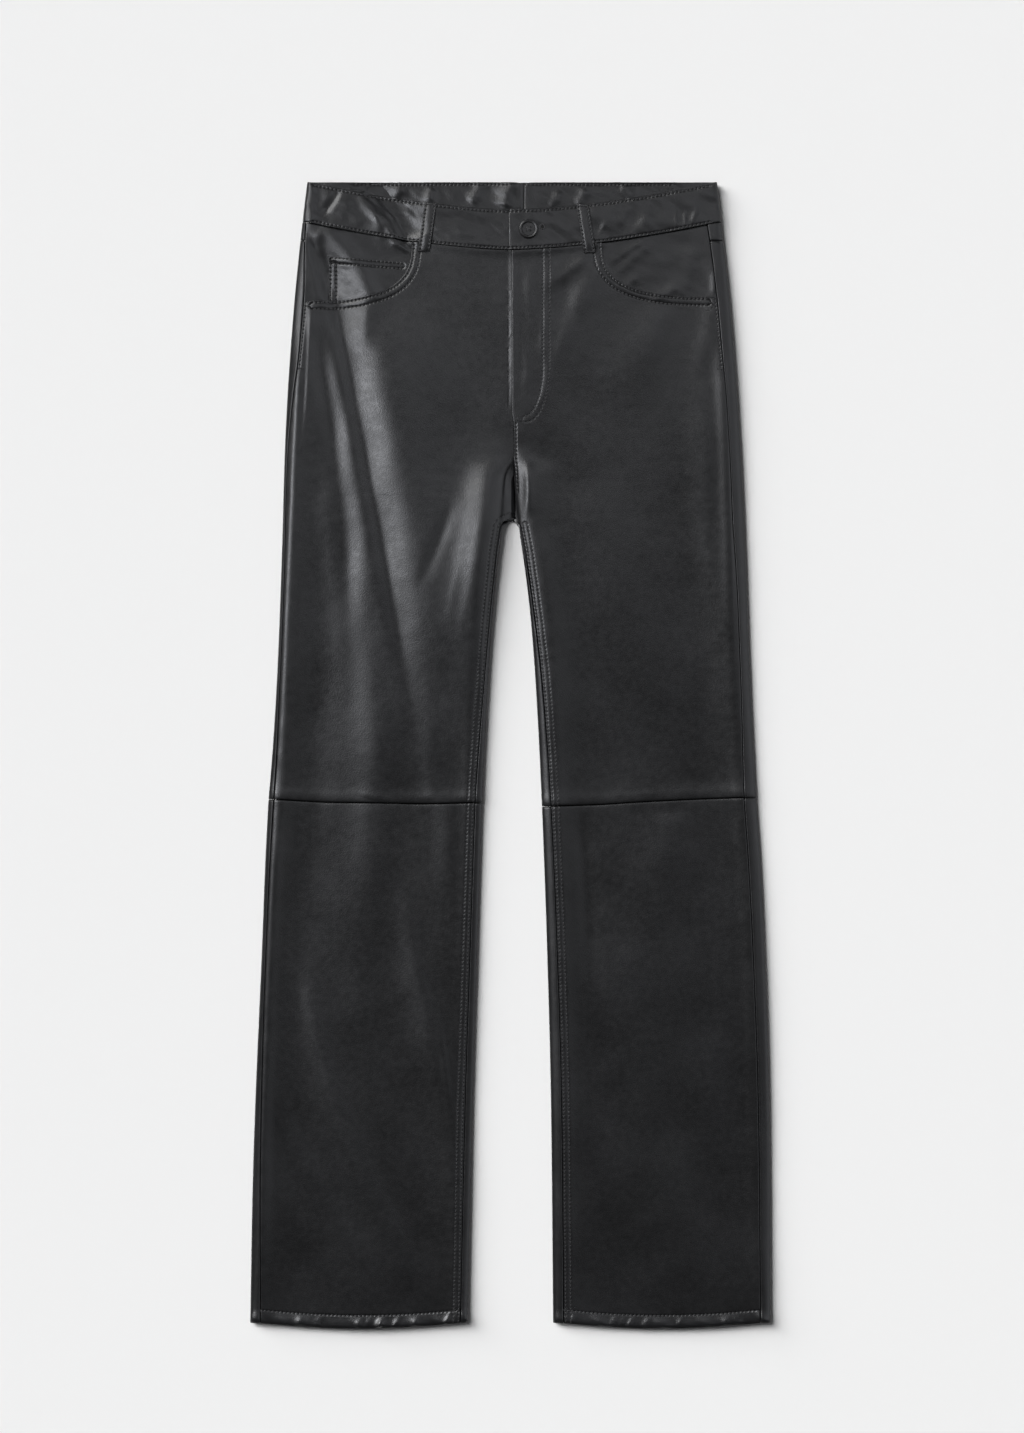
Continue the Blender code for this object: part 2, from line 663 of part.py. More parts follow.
def make_back_upper(side, finish):
    rows = [back_upper_row(side, level) for level in back_upper_levels()]
    return sheet("back_upper_" + side, facing_down(side, rows), WALL, finish)


def back_lower_row(side, step):
    knee = KNEE - SEAM_GAP / 2
    return back_leg_row(
        side,
        between(HEM, knee + knee_offset(side, 0), step),
        between(HEM, knee + knee_offset(side, 1), step),
    )


def make_back_lower(side, finish):
    rows = [back_lower_row(side, step) for step in leg_steps()]
    return sheet("back_lower_" + side, facing_down(side, rows), WALL, finish, doubled_rows=len(HEM_STEPS))


def make_yoke(side, finish):
    """The back yoke runs round the side to the outseam, where its top follows the dip of the front."""
    top_y = WAIST_BACK - BAND_HEIGHT
    rows = []
    for k in range(5):
        inner_y = between(yoke_seam(0) + SEAM_GAP / 2, top_y - SEAM_GAP / 2, k / 4)
        outer_y = between(yoke_seam(1) + SEAM_GAP / 2, top_y - SEAM_GAP / 2, k / 4)
        row = back_hip_row(side, outer_y, inner_y)
        for point in row[-len(STRIP_SHARES) :]:
            point.y -= k / 4 * waist_dip(point.x)
        rows.append(row)
    return sheet("back_yoke_" + side, facing_down(side, rows), WALL, finish)


def band_top(side, q):
    return between(BAND_TOP_AT_LAP[side], BAND_TOP, ramp(q, *LAP_EASE))


def waistband_row(side, step):
    """One row of the waistband from the centre back, round the side, to its end at the front."""
    back_y = between(WAIST_BACK - BAND_HEIGHT + SEAM_GAP / 2, WAIST_BACK, step)
    sign, under = SIGN[side], LOOP_RISE
    radius = (BAND_TOP - under) / 2
    edge = outer_edge[side](back_y)
    centre = centre_back(side, back_y) + SEAM_GAP / 2
    row = [Vector((sign * q, back_y, under)) for q in evenly(centre, edge - radius, 8)]
    for k in range(1, 8):
        turn = math.pi * k / 8
        q = edge - radius + radius * math.sin(turn)
        row.append(Vector((sign * q, back_y - waist_dip(q) * k / 8, under + radius * (1 - math.cos(turn)))))
    for q in evenly(edge - radius, BAND_END[side], 16):
        row.append(Vector((sign * q, back_y - waist_dip(q), band_top(side, q))))
    return row


def make_waistband(side, finish):
    rows = [waistband_row(side, step) for step in (0, 0.5, 1)]
    return sheet("waistband_" + side, facing_down(side, rows), BAND_WALL, finish)


def facing_drop(side, q, y):
    """The pocket facing lies under the front; the coin pocket lies between the two on the right."""
    drop = WALL + SEAM_GAP
    if side == "left":
        return drop
    from_seam = outer_edge[side](y) - outseam_inset[side](y) - q
    return drop * (1 + ramp(from_seam, 3 * MM, 12 * MM) * (1 - ramp(y, COIN_TOP + 7 * MM, COIN_TOP + 17 * MM)))


def make_pocket_facing(side, finish):
    low = MOUTH_LOW[side] - FACING_HIDDEN
    rows = []
    for step in FACING_STEPS:
        row = []
        y_side = between(low, WAIST_BACK - BAND_HEIGHT - SEAM_GAP / 2, step)
        inner = mouth_inner(side, y_side, FACING_HIDDEN)
        outer, _ = front_seams(side, y_side, y_side)
        for q in evenly(inner, outer, 8):
            y = y_side - ramp(y_side, MOUTH_LOW[side], WAIST_BACK - BAND_HEIGHT) * waist_dip(q)
            row.append(front_point(side, q, y, -facing_drop(side, q, y)))
        rows.append(row)
    return sheet("pocket_facing_" + side, facing_up(side, rows), WALL, finish)


def make_coin_pocket(finish):
    """A patch on the right facing, whose lower and inner edges run on under the front."""
    side = "right"
    low = MOUTH_LOW[side] - COIN_HIDDEN
    rows = []
    for step in COIN_STEPS:
        y_outer = between(low, COIN_TOP, step)
        inner = mouth_inner(side, y_outer - 4 * MM * step, COIN_HIDDEN)
        row = []
        for q in evenly(inner, COIN_X, 7):
            y = y_outer - step * COIN_SLOPE * (COIN_X - q)
            row.append(front_point(side, q, y, -(WALL + SEAM_GAP)))
        rows.append(row)
    return sheet("coin_pocket", facing_up(side, rows), WALL, finish)


def make_front_loop(side, finish):
    """A belt loop from the top edge of the waistband to a little below it."""
    top_x, bottom_x = (x * MM for x in FRONT_LOOPS_MM[side])
    top_y = WAIST_BACK - waist_dip(top_x)
    seam_y = front_waist_seam(bottom_x)
    bottom_y = seam_y - LOOP_BELOW
    rows = []
    for step in FRONT_LOOP_STEPS:
        y, x = between(bottom_y, top_y, step), between(bottom_x, top_x, step)
        low = front_height(side, abs(x), bottom_y)
        base = between(low, BAND_TOP, ramp(y, bottom_y, seam_y - 2 * MM))
        row = []
        for across, crown in FRONT_LOOP_CROWN:
            z = base + SEAM_GAP + LOOP_WALL + LOOP_ARCH * math.sin(math.pi * step) + crown * MM
            row.append(Vector((x + across * LOOP_WIDTH, y, z)))
        rows.append(row)
    return sheet("belt_loop_front_" + side, rows, LOOP_WALL, finish)


def make_back_loop(name, x, finish):
    """A belt loop under the back of the waistband, flat on the floor."""
    rows = []
    for step in (0, 0.5, 1):
        y = between(WAIST_BACK - BACK_LOOP_LENGTH, WAIST_BACK, step)
        rows.append([Vector((x + across * LOOP_WIDTH, y, 0)) for across in (0.5, 0, -0.5)])
    return sheet("belt_loop_back_" + name, rows, LOOP_WALL, finish)


def make_zip(finish):
    """The closed zip beside the right front's edge, under the left front."""
    rows = []
    for y in evenly(FLY_BOTTOM + 10 * MM, front_waist_seam(0) - 3 * MM, 7):
        row = []
        for q in evenly(ZIP_START, ZIP_START + ZIP_WIDTH, 2):
            row.append(front_point("left", q, y, -(WALL + SEAM_GAP)))
        rows.append(row)
    return sheet("fly_zip", rows, WALL, finish)


def make_button(finish):
    """A dished sew-through button with four holes, lathed from its profile."""
    base = BAND_TOP_AT_LAP["left"] + SEAM_GAP
    shape = bmesh.new()
    line = [shape.verts.new((r * BUTTON_RADIUS, 0, z * BUTTON_THICK)) for r, z in BUTTON_PROFILE]
    edges = [shape.edges.new(pair) for pair in zip(line, line[1:])]
    bmesh.ops.spin(shape, geom=line + edges, cent=(0, 0, 0), axis=(0, 0, 1), angle=2 * math.pi, steps=32)
    bmesh.ops.remove_doubles(shape, verts=shape.verts, dist=0.00001)
    bmesh.ops.recalc_face_normals(shape, faces=shape.faces)
    mesh = bpy.data.meshes.new("button")
    shape.to_mesh(mesh)
    shape.free()
    button = new_object("button", mesh, finish)
    button.location = (BUTTON_X, BUTTON_Y, base)
    for k in range(4):
        turn = math.pi / 4 + math.pi / 2 * k
        x, y = (BUTTON_HOLE_AT * math.sqrt(2) * f(turn) for f in (math.cos, math.sin))
        bpy.ops.mesh.primitive_cylinder_add(
            vertices=12, radius=BUTTON_HOLE, depth=20 * MM, location=(BUTTON_X + x, BUTTON_Y + y, base)
        )
        cutter = bpy.context.object
        cutter.name = f"button_hole_{k}"
        cutter.hide_render = True
        cut = button.modifiers.new(cutter.name, "BOOLEAN")
        cut.object = cutter
    return button


def main():
    for old in list(bpy.data.objects):
        bpy.data.objects.remove(old)
    leather = material("leather", LEATHER_COLOUR, 0.42)
    button_finish = material("button", BUTTON_COLOUR, 0.3)
    zip_finish = material("zip", ZIP_COLOUR, 0.6)
    for side in SIGN:
        make_front_upper(side, leather)
        make_front_lower(side, leather)
        make_back_upper(side, leather)
        make_back_lower(side, leather)
        make_yoke(side, leather)
        make_waistband(side, leather)
        make_pocket_facing(side, leather)
        make_front_loop(side, leather)
    make_coin_pocket(leather)
    for name, x in BACK_LOOPS_MM.items():
        make_back_loop(name, x * MM, leather)
    make_zip(zip_finish)
    make_button(button_finish)


main()
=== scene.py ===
"""Looks of the straight leather trousers, laid flat on their back with the front up.

Metres, +Z up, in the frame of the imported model. +X is the wearer's left, and +Y runs from the hems
to the waist. Each leather piece is a fine shell on its solid's form, with creases, seam hollows and
puckers pressed into it, and every row of sewing is drawn as separate stitches of thread.
"""

import json
import math
from collections import namedtuple

import bmesh
import bpy
import numpy as np
from mathutils import Matrix, Vector
from mathutils.bvhtree import BVHTree

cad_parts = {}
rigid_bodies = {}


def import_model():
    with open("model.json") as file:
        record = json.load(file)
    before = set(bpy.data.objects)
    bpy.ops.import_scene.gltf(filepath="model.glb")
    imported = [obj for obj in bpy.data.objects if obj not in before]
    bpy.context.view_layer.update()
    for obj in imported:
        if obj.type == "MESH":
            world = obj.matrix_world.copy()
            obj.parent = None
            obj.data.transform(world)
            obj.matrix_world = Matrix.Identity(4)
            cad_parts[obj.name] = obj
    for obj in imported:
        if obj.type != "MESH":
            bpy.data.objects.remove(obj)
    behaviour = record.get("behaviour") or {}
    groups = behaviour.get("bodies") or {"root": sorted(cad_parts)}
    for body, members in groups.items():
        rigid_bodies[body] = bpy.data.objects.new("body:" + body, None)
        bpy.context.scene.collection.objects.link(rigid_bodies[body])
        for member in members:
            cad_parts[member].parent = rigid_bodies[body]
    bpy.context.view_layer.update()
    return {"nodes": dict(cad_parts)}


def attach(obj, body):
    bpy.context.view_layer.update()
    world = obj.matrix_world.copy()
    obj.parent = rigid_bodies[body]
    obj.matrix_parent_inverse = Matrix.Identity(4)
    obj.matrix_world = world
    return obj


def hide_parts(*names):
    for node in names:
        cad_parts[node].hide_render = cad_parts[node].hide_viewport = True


MM = 0.001
SIDES = ("right", "left")
SIGN = {"right": -1, "left": 1}
FAR = 1e9

# A row of stitches: its line, half the gap of a double row, whether it is on the underside, how far the
# leather swells between the two, how strongly they pull it in and whether it is a bartack
Row = namedtuple("Row", "line gap below puff pull tack", defaults=(0, False, 0, 1, False))
# A leather piece: Subdivision levels, cuts of its upper faces, whether it wraps round to the floor, how
# closely it is creased, the seams along it, and the sheet's flat width and length and its cut area
Cut = namedtuple("Cut", "levels cuts wraps creased seams flat area", defaults=(None,))
# A crease, as in CREASES_MM
Crease = namedtuple("Crease", "start through end height left right rise fall spread", defaults=(0.3, 0.3, 1))

# Camera
FRAME_WIDTH = 962.6 * MM  # what the view takes in at the height of the leather
FRAME_PIXELS = (1024, 1433)
VIEW_CENTRE = (-0.5 * MM, 35.7 * MM, 6 * MM)
CAMERA_HEIGHT = 3.5

# Studio
FLOOR_SIZE = 30.0
FLOOR_DROP = 0.4 * MM  # the floor lies this far below the leather, clear of the thread under it
FLOOR_COLOUR = (0.86, 0.86, 0.86, 1)
WORLD_COLOUR = (0.97, 0.98, 1.0, 1)
WORLD_STRENGTH = 0.09
FLOOR_LIGHT = (1, 1, 1)
GLOSS_LIGHT = (0.96, 0.98, 1.04)
SUN_DISTANCE = 3.0
# Far studio lights: name, azimuth from +X and angle from straight up in degrees, width in degrees,
# strength, whether it lights the floor and whether it shows as gloss
SUNS = (
    ("window", 138, 44, 34, 2.1, True, True),
    ("low_window", 146, 70, 34, 4.1, True, False),
    ("side_card", 10, 34, 40, 0.26, False, True),
    ("far_card", 45, 76, 40, 0.5, False, True),
    ("edge_card", 0, 62, 50, 0.5, False, True),
)
# Near panels that show as gloss only: name, place, size and power
PANELS = (
    ("softbox", (-1.0, 0.385, 1.78), 0.42, 13.5),
    ("top_panel", (0.35, 0.9, 1.9), 0.6, 1.9),
)
PANEL_AIM = (0.0, 0.1, 0.0)

# Finishes
SKIN_COLOUR = (0.0034, 0.0034, 0.0037, 1)
SKIN_TINT = (0.0075, 0.0077, 0.0085, 1)  # worn lighter on raised folds and at random; painted shade leans away from it
SKIN_TINT_SHARE = 0.7
SKIN_POLISH = 0.33
POLISH_SPREAD = (-0.05, 0.03)  # how far the crinkles change the roughness
TONE_ROUGHNESS, HOLE_ROUGHNESS = 0.06, 0.4  # what light tones and needle holes add to it
GRAIN_SCALES = {"Pebble_Scale": 900.0, "Crinkle_Scale": 160.0, "Tone_Scale": 14.0}
CRINKLE_SHARE = 1.6
GRAIN_STRENGTH, GRAIN_DEPTH = 0.42, 0.12 * MM
GROOVE_DEPTH = 0.4 * MM
# How fast the marks of the sewing fade, per square millimetre: the grooves, and the painted shade of the
# needle holes and of the seams
GROOVE_SHARPNESS, HOLE_SHARPNESS, SEAM_SHARPNESS = 1.1, 2.6, 4.0
HOLE_POWER = 5.0
HOLE_DIP = 0.6  # how much of a groove's depth it has at its needle holes alone
# How far the painted shade of seams and needle holes is made a metal, which takes their gloss away
CRACK_SHADE_METAL = 0.9
NOISE_RANGE = (0.3, 0.7)  # most values of a noise lie between these
THREAD_COLOUR = (0.014, 0.014, 0.015, 1)
THREAD_TINT = (0.024, 0.024, 0.026, 1)
MOULDED_TINT = 1.7
MOULDED_SPREAD = (-0.06, 0.08)

# Driving sizes of the cut, which the rows of sewing follow
WAIST_BACK = 538.2 * MM
WAIST_DIP = 26 * MM
WAIST_DIP_POWER = 1.6
WAIST_HALF = 193 * MM
BAND_HEIGHT = 38 * MM
BAND_FOOT = WAIST_BACK - BAND_HEIGHT
YOKE_SIDE, YOKE_CENTRE = 17 * MM, 50 * MM  # its height at the outseam and at the centre back
YOKE_INNER, YOKE_WIDTH = 11 * MM, 176 * MM
LAP_EDGE = -3.5 * MM
HEM_EDGE, HEM_SAG, HEM_TURN = -534.5 * MM, 5.5 * MM, 12.5 * MM
BARTACK_LEVEL = 359 * MM
FORK = 221 * MM

# Pocket mouths, as quarter superellipses like the ones the fronts are cut to
OUTSEAM_AT_POCKET = {"right": 196.2 * MM, "left": 192.5 * MM}
MOUTH_X = {"right": 94.6 * MM, "left": 84 * MM}
MOUTH_LOW = {"right": 426.4 * MM, "left": 430.0 * MM}
MOUTH_HIGH = 480 * MM
MOUTH_POWER = 2.8

# Stitches
STITCH_LENGTH = 2.9 * MM
STITCH_PITCH = 3.7 * MM
STITCH_BENDS = (-0.3, 0.3)  # where it bends down, in lengths from its middle
STITCH_TAPER, STITCH_DIVE = 0.4, 0.3 * MM  # how much thinner and deeper its ends are
STITCH_SHAKE, STITCH_TWIST = 0.08 * MM, 0.06  # how far, and by what angle, it is off its row
THREAD_WIDTH = 0.7 * MM
THREAD_RISE = 0.26 * THREAD_WIDTH
TACK_PITCH = 0.7 * MM
TACK_SCALE, TACK_TURN = (0.62, 0.9, 0.9), 82
RAY_START = 60 * MM

# Lines of sewing in millimetres, and how far rows are from their seam or edge
FLY_CURVE_MM = (12, 365, 19.6, 50)  # centre of the quarter oval and its two radii
FLY_TOP_MM = 474
FLY_SHADE_MM = (474, 325)  # ends of the painted shadow line along the fly's edge, also pressed in like a seam
FLY_SHADE_INSET_MM = 0.7
CROTCH_ROW_MM = ((3.4, 311), (3.6, 277), (4.8, 246))
COIN_ROWS_MM = (((-169.5, 464.3), (-104, 459.5)), ((-168.6, 428), (-168.8, 461)))
FRONT_LOOPS_MM = {"right": ((-83.5, 470.5), (-77, 518.5)), "left": ((72.5, 470.5), (65.5, 517))}
BACK_LOOPS_MM = {"right": -128, "centre": 10.8, "left": 140}
BACK_LOOP_ENDS_MM = (494, 537)
LOOP_TACK_HALF_MM = 4.5
LOOP_TACK_INSETS_MM = (1.6, -1.8)  # from the lower end and from the upper end
POCKET_TACK_MM = ((0.6, 0), (6, 0.6))
HEM_SPAN_MM = {"right": (46, 238), "left": (47, 234)}
BAND_ENDS_MM = {"right": -187, "left": 186}
BAND_LAP_MM = 0.5
BAND_ROW_INSETS = (2.2 * MM, BAND_HEIGHT - 2 * MM)
BAND_INNER_LEVELS_MM = (535.9, 502.4)
BAND_INNER_SPANS_MM = ((1, 150), (12, 184), (12, 186))
YOKE_ROW_MM = (14, 186)
YOKE_ROW_INSET, POCKET_ROW_INSET = 5 * MM, 4.9 * MM
OUTSEAM_ROW_INSET, INSEAM_ROW_INSET = 1.8 * MM, 4.2 * MM
WIDE_GAP, INSEAM_GAP, COIN_GAP, LOOP_GAP = 3.0 * MM, 2.4 * MM, 2.6 * MM, 4.0 * MM
SOFT_PULL = 0.6  # of the rows at the inseams and the fly

# Button and buttonhole
BUTTON_CENTRE, BUTTON_FACE = (15.0 * MM, 493.4 * MM), 12.15 * MM
CROSS_LENGTH, CROSS_THICKNESS = 6 * MM, 1.4
CROSS_STRANDS_MM = (-0.45, 0, 0.45)
CROSS_LIFT = 0.45 * MM  # of the upper strands over the lower ones
EYELET_MM = (28.2, 495.6)
EYELET_RADIUS, EYELET_RIM, EYELET_DEPTH = 2.3 * MM, 0.5 * MM, 0.1 * MM

# Shells
FACE_WIDTH = 18 * MM  # much wider faces of a solid are cut into columns of this width
FACE_LIMIT, FACE_MARGIN = 1.5, 0.2  # in those widths: what is too wide, and the narrowest rest
LAST_COLUMN = 13
UPWARD = 0.25  # the normal's height from which a face counts as an upper one
WELD = 0.01 * MM
QUAD_BEND, QUAD_SKEW, SHARP_EDGE = (math.radians(angle) for angle in (60, 80, 60))
EDGE_CREASE = 0.45  # how firmly sharp edges stay
SMOOTHING, FORK_SMOOTHING, FORK_REACH = 6, 30, 24 * MM
WRAP_LEVELS = (1.5 * MM, 4.5 * MM)  # where a wrapped piece turns from its underside to its upper side
LOWEST_SINK = 0.7 * FLOOR_DROP  # how far upper pieces may sink below the level that the trousers rest on
WEAR_AND_SHADE_SCALE, WEAR_AND_SHADE_RANGE = 3 * MM, (-0.3, 0.5)  # fold tone: raised folds worn lighter, sunk ones painted shade

# Seams and rows in the leather
SEAM_DEPTH, SEAM_HALF_WIDTH = 0.4 * MM, 0.6 * MM
SEAM_FAR = 14 * MM
SEAM_RIPPLE, SEAM_RIPPLE_WIDTH, SEAM_RIPPLE_CELL = 0.12 * MM, 6 * MM, 7 * MM
ROW_REACH = 9 * MM  # how far from a row of stitches the leather is marked by it
ROW_DEPTH, ROW_HALF_WIDTH, ROW_CELL = 0.16 * MM, 1.1 * MM, 4.5 * MM
ROW_UNEVEN = 0.6
ROW_FADE = (2.5 * MM, 5 * MM)  # where its mark dies away, outside the stitches
SIDE_LIMIT = 0.1  # the normal's height up to which a row reaches round an edge
UNDER_SHARE = 0.6  # how strongly rows mark the underside
PUFF = 0.28 * MM  # how far the leather swells between the two rows of a double row
PUFF_WIDTH = 0.75
WAIST_EASE, WAIST_EASE_WIDTH = 0.9 * MM, 5 * MM  # the panels rise to the waistband's seam
PARTING_DEPTH = 2.4 * MM  # the right front dives under the left one at the crotch
PARTING_SLOPE = (-9 * MM, 8 * MM)
PARTING_START, PARTING_END = (FORK - 2 * MM, FORK + 3 * MM), (255 * MM, 276 * MM)
PARTING_SHADE = (0.15, 0.45)

# Creases of the leather in millimetres: start, middle and end, height (below 0 for a trough), width
# of the flank towards -X+Y and of the one towards +X-Y, the shares of the length over which it
# grows and dies away, 0.3 each unless given, and how much wider it is at its end than at its start
CREASES_MM = (
    # Right hip and knee
    ((-189.5, 421.5), (-191.5, 352), (-198, 267.5), 1, 3, 10, 0.05, 0.4),
    ((-57, 239), (-71, 197), (-89, 155), -0.9, 5, 6),
    ((-130, 61), (-128, -5), (-132, -43), 1.2, 16, 16, 0.3, 0),
    ((-79, 61), (-77, -5), (-76, -43), 0.5, 8, 10, 0.3, 0),
    ((-132, -48), (-132, -99), (-132, -165), 1, 16, 18, 0, 0.6),
    ((-62, -48), (-61, -99), (-62, -165), 0.8, 12, 7, 0, 0.6),
    # Right shin
    ((-158, -174), (-143, -240), (-132, -306), 0.5, 12, 12),
    ((-192, -201), (-166, -330), (-83, -505), 1.4, 8, 10, 0.2, 0.15, 1.2),
    ((-104, -132), (-87, -217), (-59, -353), 1.2, 12, 8, 0.25, 0.3),
    ((-74, -231), (-64.5, -287), (-59, -343.5), 0.6, 3, 4),
    ((-217, -330), (-183, -400), (-121, -500), 1.1, 8, 9, 0.2, 0.15, 1.3),
    # Left hip and thigh
    ((197, 380), (202.5, 267.5), (208, 89), 0.9, 7, 3, 0.05, 0.3),
    ((176, 352), (181, 258), (182, 108), 0.85, 14, 8, 0.2, 0.4, 1.2),
    ((45, 239), (59, 145), (73, 32), 0.7, 18, 22),
    ((56, 410), (45, 385), (38, 360), 0.45, 5, 7),
    ((140, 424), (134, 394), (127, 354), 1, 13, 11, 0.2, 0.4),
    ((188, 427), (182, 394), (172, 347), 0.6, 9, 8, 0.2, 0.3),
    ((13, 284), (15, 250), (12, 220), 1.1, 4, 5),
    ((72, 469), (54, 455), (36, 442), 0.45, 4, 5, 0.1, 0.3),
    ((83, 463), (71, 437), (56, 406), 0.7, 8, 9, 0.1, 0.3, 1.3),
    ((88, 451), (78, 422), (67, 385), 0.5, 8, 10, 0.2, 0.4, 1.3),
    # Left shin
    ((63, -54), (71, -137), (73, -231), -0.8, 8, 10, 0.1, 0.4),
    ((152, -54), (150, -90), (142, -137), 1.2, 22, 18, 0.1, 0.4),
    ((82, -137), (120, -287), (167, -456), 0.7, 16, 20, 0.2, 0.2, 1.2),
    ((204, -193), (191, -306), (176, -419), 0.5, 14, 12),
    ((191, -118), (176, -142), (159, -156), 0.4, 11, 9),
    ((103, -179), (110, -207), (122, -238), 0.5, 11, 12),
    ((78, -308), (94, -295), (116, -283), 0.35, 12, 12),
    ((105, -464), (120, -449), (131, -430), 0.45, 11, 11),
    ((120, -509), (146, -486), (171, -477), 0.45, 10, 11, 0.2, 0.3),
    # Left pocket facing
    ((125.5, 483.5), (110.5, 475), (92.5, 463), 0.5, 3.5, 4, 0.1, 0.1),
    ((129, 478), (114, 467), (95, 449), 0.55, 4, 5, 0.1, 0.1),
    ((120, 451), (110, 443), (103, 436), 0.35, 4, 4, 0.2, 0.2),
    ((171, 481), (166, 455), (156, 431), 0.7, 8, 6, 0.2, 0, 1.2),
    ((156, 442), (146, 434), (134, 428), 0.7, 6, 4, 0.2, 0),
    ((189.5, 455.5), (189.5, 444), (189.5, 433), 0.7, 3, 2, 0.2, 0.1),
    # Left waistband
    ((109, 516), (105, 507), (99, 497), 0.35, 4, 4, 0.2, 0.2),
    ((129, 510), (120, 497), (105, 487), 0.55, 5, 5, 0.2, 0.2),
    ((88, 500.5), (85, 495), (81.5, 487.5), 0.4, 2.5, 2.5, 0.2, 0.2),
    ((153, 509), (153.5, 502.5), (154.5, 496), 0.4, 1.4, 1.4, 0.2, 0.1),
    ((161, 510), (162, 504.5), (163, 497.5), 0.5, 1.4, 1.4, 0.2, 0.1),
    ((173.5, 512), (170.5, 505), (168.5, 498.5), 0.5, 2.5, 2, 0.2, 0.1),
    # Inner side of the back waistband
    ((8, 538), (8, 525), (8, 513.5), 1, 14, 0.6, 0, 0),
    ((-74, 533), (-77, 527), (-79, 520), 1.3, 5, 5, 0.2, 0.1),
    ((-29, 537), (-33, 528), (-40, 518), 1.4, 6, 5, 0.1, 0.1),
    ((70, 532), (66, 524), (62, 516), 1.2, 5, 4, 0.2, 0.1),
    ((46, 531), (41, 522), (35, 515), 1.1, 5, 4, 0.2, 0.1),
    ((-102, 535), (-108, 529), (-113, 523), 1, 5, 5, 0.2, 0.1),
    ((0, 537), (-4, 527), (-7, 515), 1.8, 9, 4, 0, 0),
    ((101, 534), (107, 529), (114, 524), 0.9, 5, 4, 0.2, 0.1),
    # Right waistband
    ((-138, 531), (-115, 512), (-97, 481), -3.6, 6, 22, 0, 0),
    ((-146, 524), (-131, 512), (-124, 487), 0.8, 6, 4, 0.2, 0.1),
    ((-160, 522), (-151, 510), (-143, 495), 0.5, 7, 5, 0.2, 0.2),
    ((-163, 530.5), (-169.5, 518.5), (-178, 508), -1.4, 4, 3, 0.2, 0.2),
    ((-121, 498.5), (-113.5, 491), (-109.5, 484.5), 0.6, 4, 3, 0.2, 0.1),
    ((-188, 536), (-189, 518), (-190, 500), 1, 5, 4, 0, 0),
    ((-107.5, 517.5), (-96.5, 513), (-89, 502.5), -0.3, 2.5, 3, 0.2, 0.2),
    # Right pocket facing and coin pocket
    ((-184, 495), (-183, 463), (-179, 425), 1.5, 9, 6, 0.1, 0),
    ((-189, 487), (-180, 457), (-171, 427), -2.8, 5, 16, 0.1, 0.1),
    ((-183, 495), (-154, 470), (-130, 425), 2.6, 13, 9, 0.15, 0, 1.3),
    ((-113.5, 482), (-106, 478), (-96.5, 472.5), 0.8, 2, 3, 0.1, 0.1),
    # Right thigh, and its inner side up to the crotch
    ((-138, 427), (-140, 399), (-142, 378), 1.4, 22, 9, 0.1, 0.5),
    ((-113, 427), (-102, 239), (-87, 14), 2.6, 60, 55, 0.1, 0.3),
    ((-168, 441), (-128, 239), (-87, 14), -3.4, 9, 23, 0, 0.3, 1.1),
    ((-183, 394), (-159, 230), (-149, 51), -1.9, 9, 12, 0.1, 0.35, 1.2),
    ((-10, 258), (-20, 183), (-44, 32), 2.9, 58, 9, 0.3, 0.4),
    ((-9, 275), (-20, 197), (-48, 61), 1.5, 36, 8, 0.3, 0.5, 1.1),
    ((-22, 262), (-34, 205), (-50, 150), 0.12, 4, 6),
    ((-36, 232), (-50, 182), (-62, 130), 0.12, 4, 5),
    ((-44, 190), (-56, 150), (-60, 112), 0.15, 3, 4),
    ((-30, 200), (-42, 150), (-52, 96), 0.12, 4, 5),
    # Long edges of the legs
    ((-36, 98), (-38, -90), (-51, -503), -1.9, 22, 7, 0.12, 0.1),
    ((212, 314), (227, -62), (238, -503), -1.2, 20, 7, 0.1, 0.1),
    ((-198, 399), (-208, 239), (-218, -5), 1.5, 5, 7, 0.1, 0.1),
    ((-220, -43), (-231, -231), (-238, -503), 1.2, 5, 7, 0.1, 0.1),
    # Fly
    ((0.5, 470), (0.5, 400), (0.8, 330), 0.7, 2.8, 3.5, 0, 0.1),
    ((33.5, 385), (33, 350), (22, 322), 0.6, 3.5, 2.5),
    ((18, 463), (16, 437), (20, 399), 0.5, 5, 5),
    ((32, 427), (30, 399), (26, 360), 0.5, 4, 5),
    ((11, 399), (14, 366), (11, 333), 0.4, 4, 4),
)
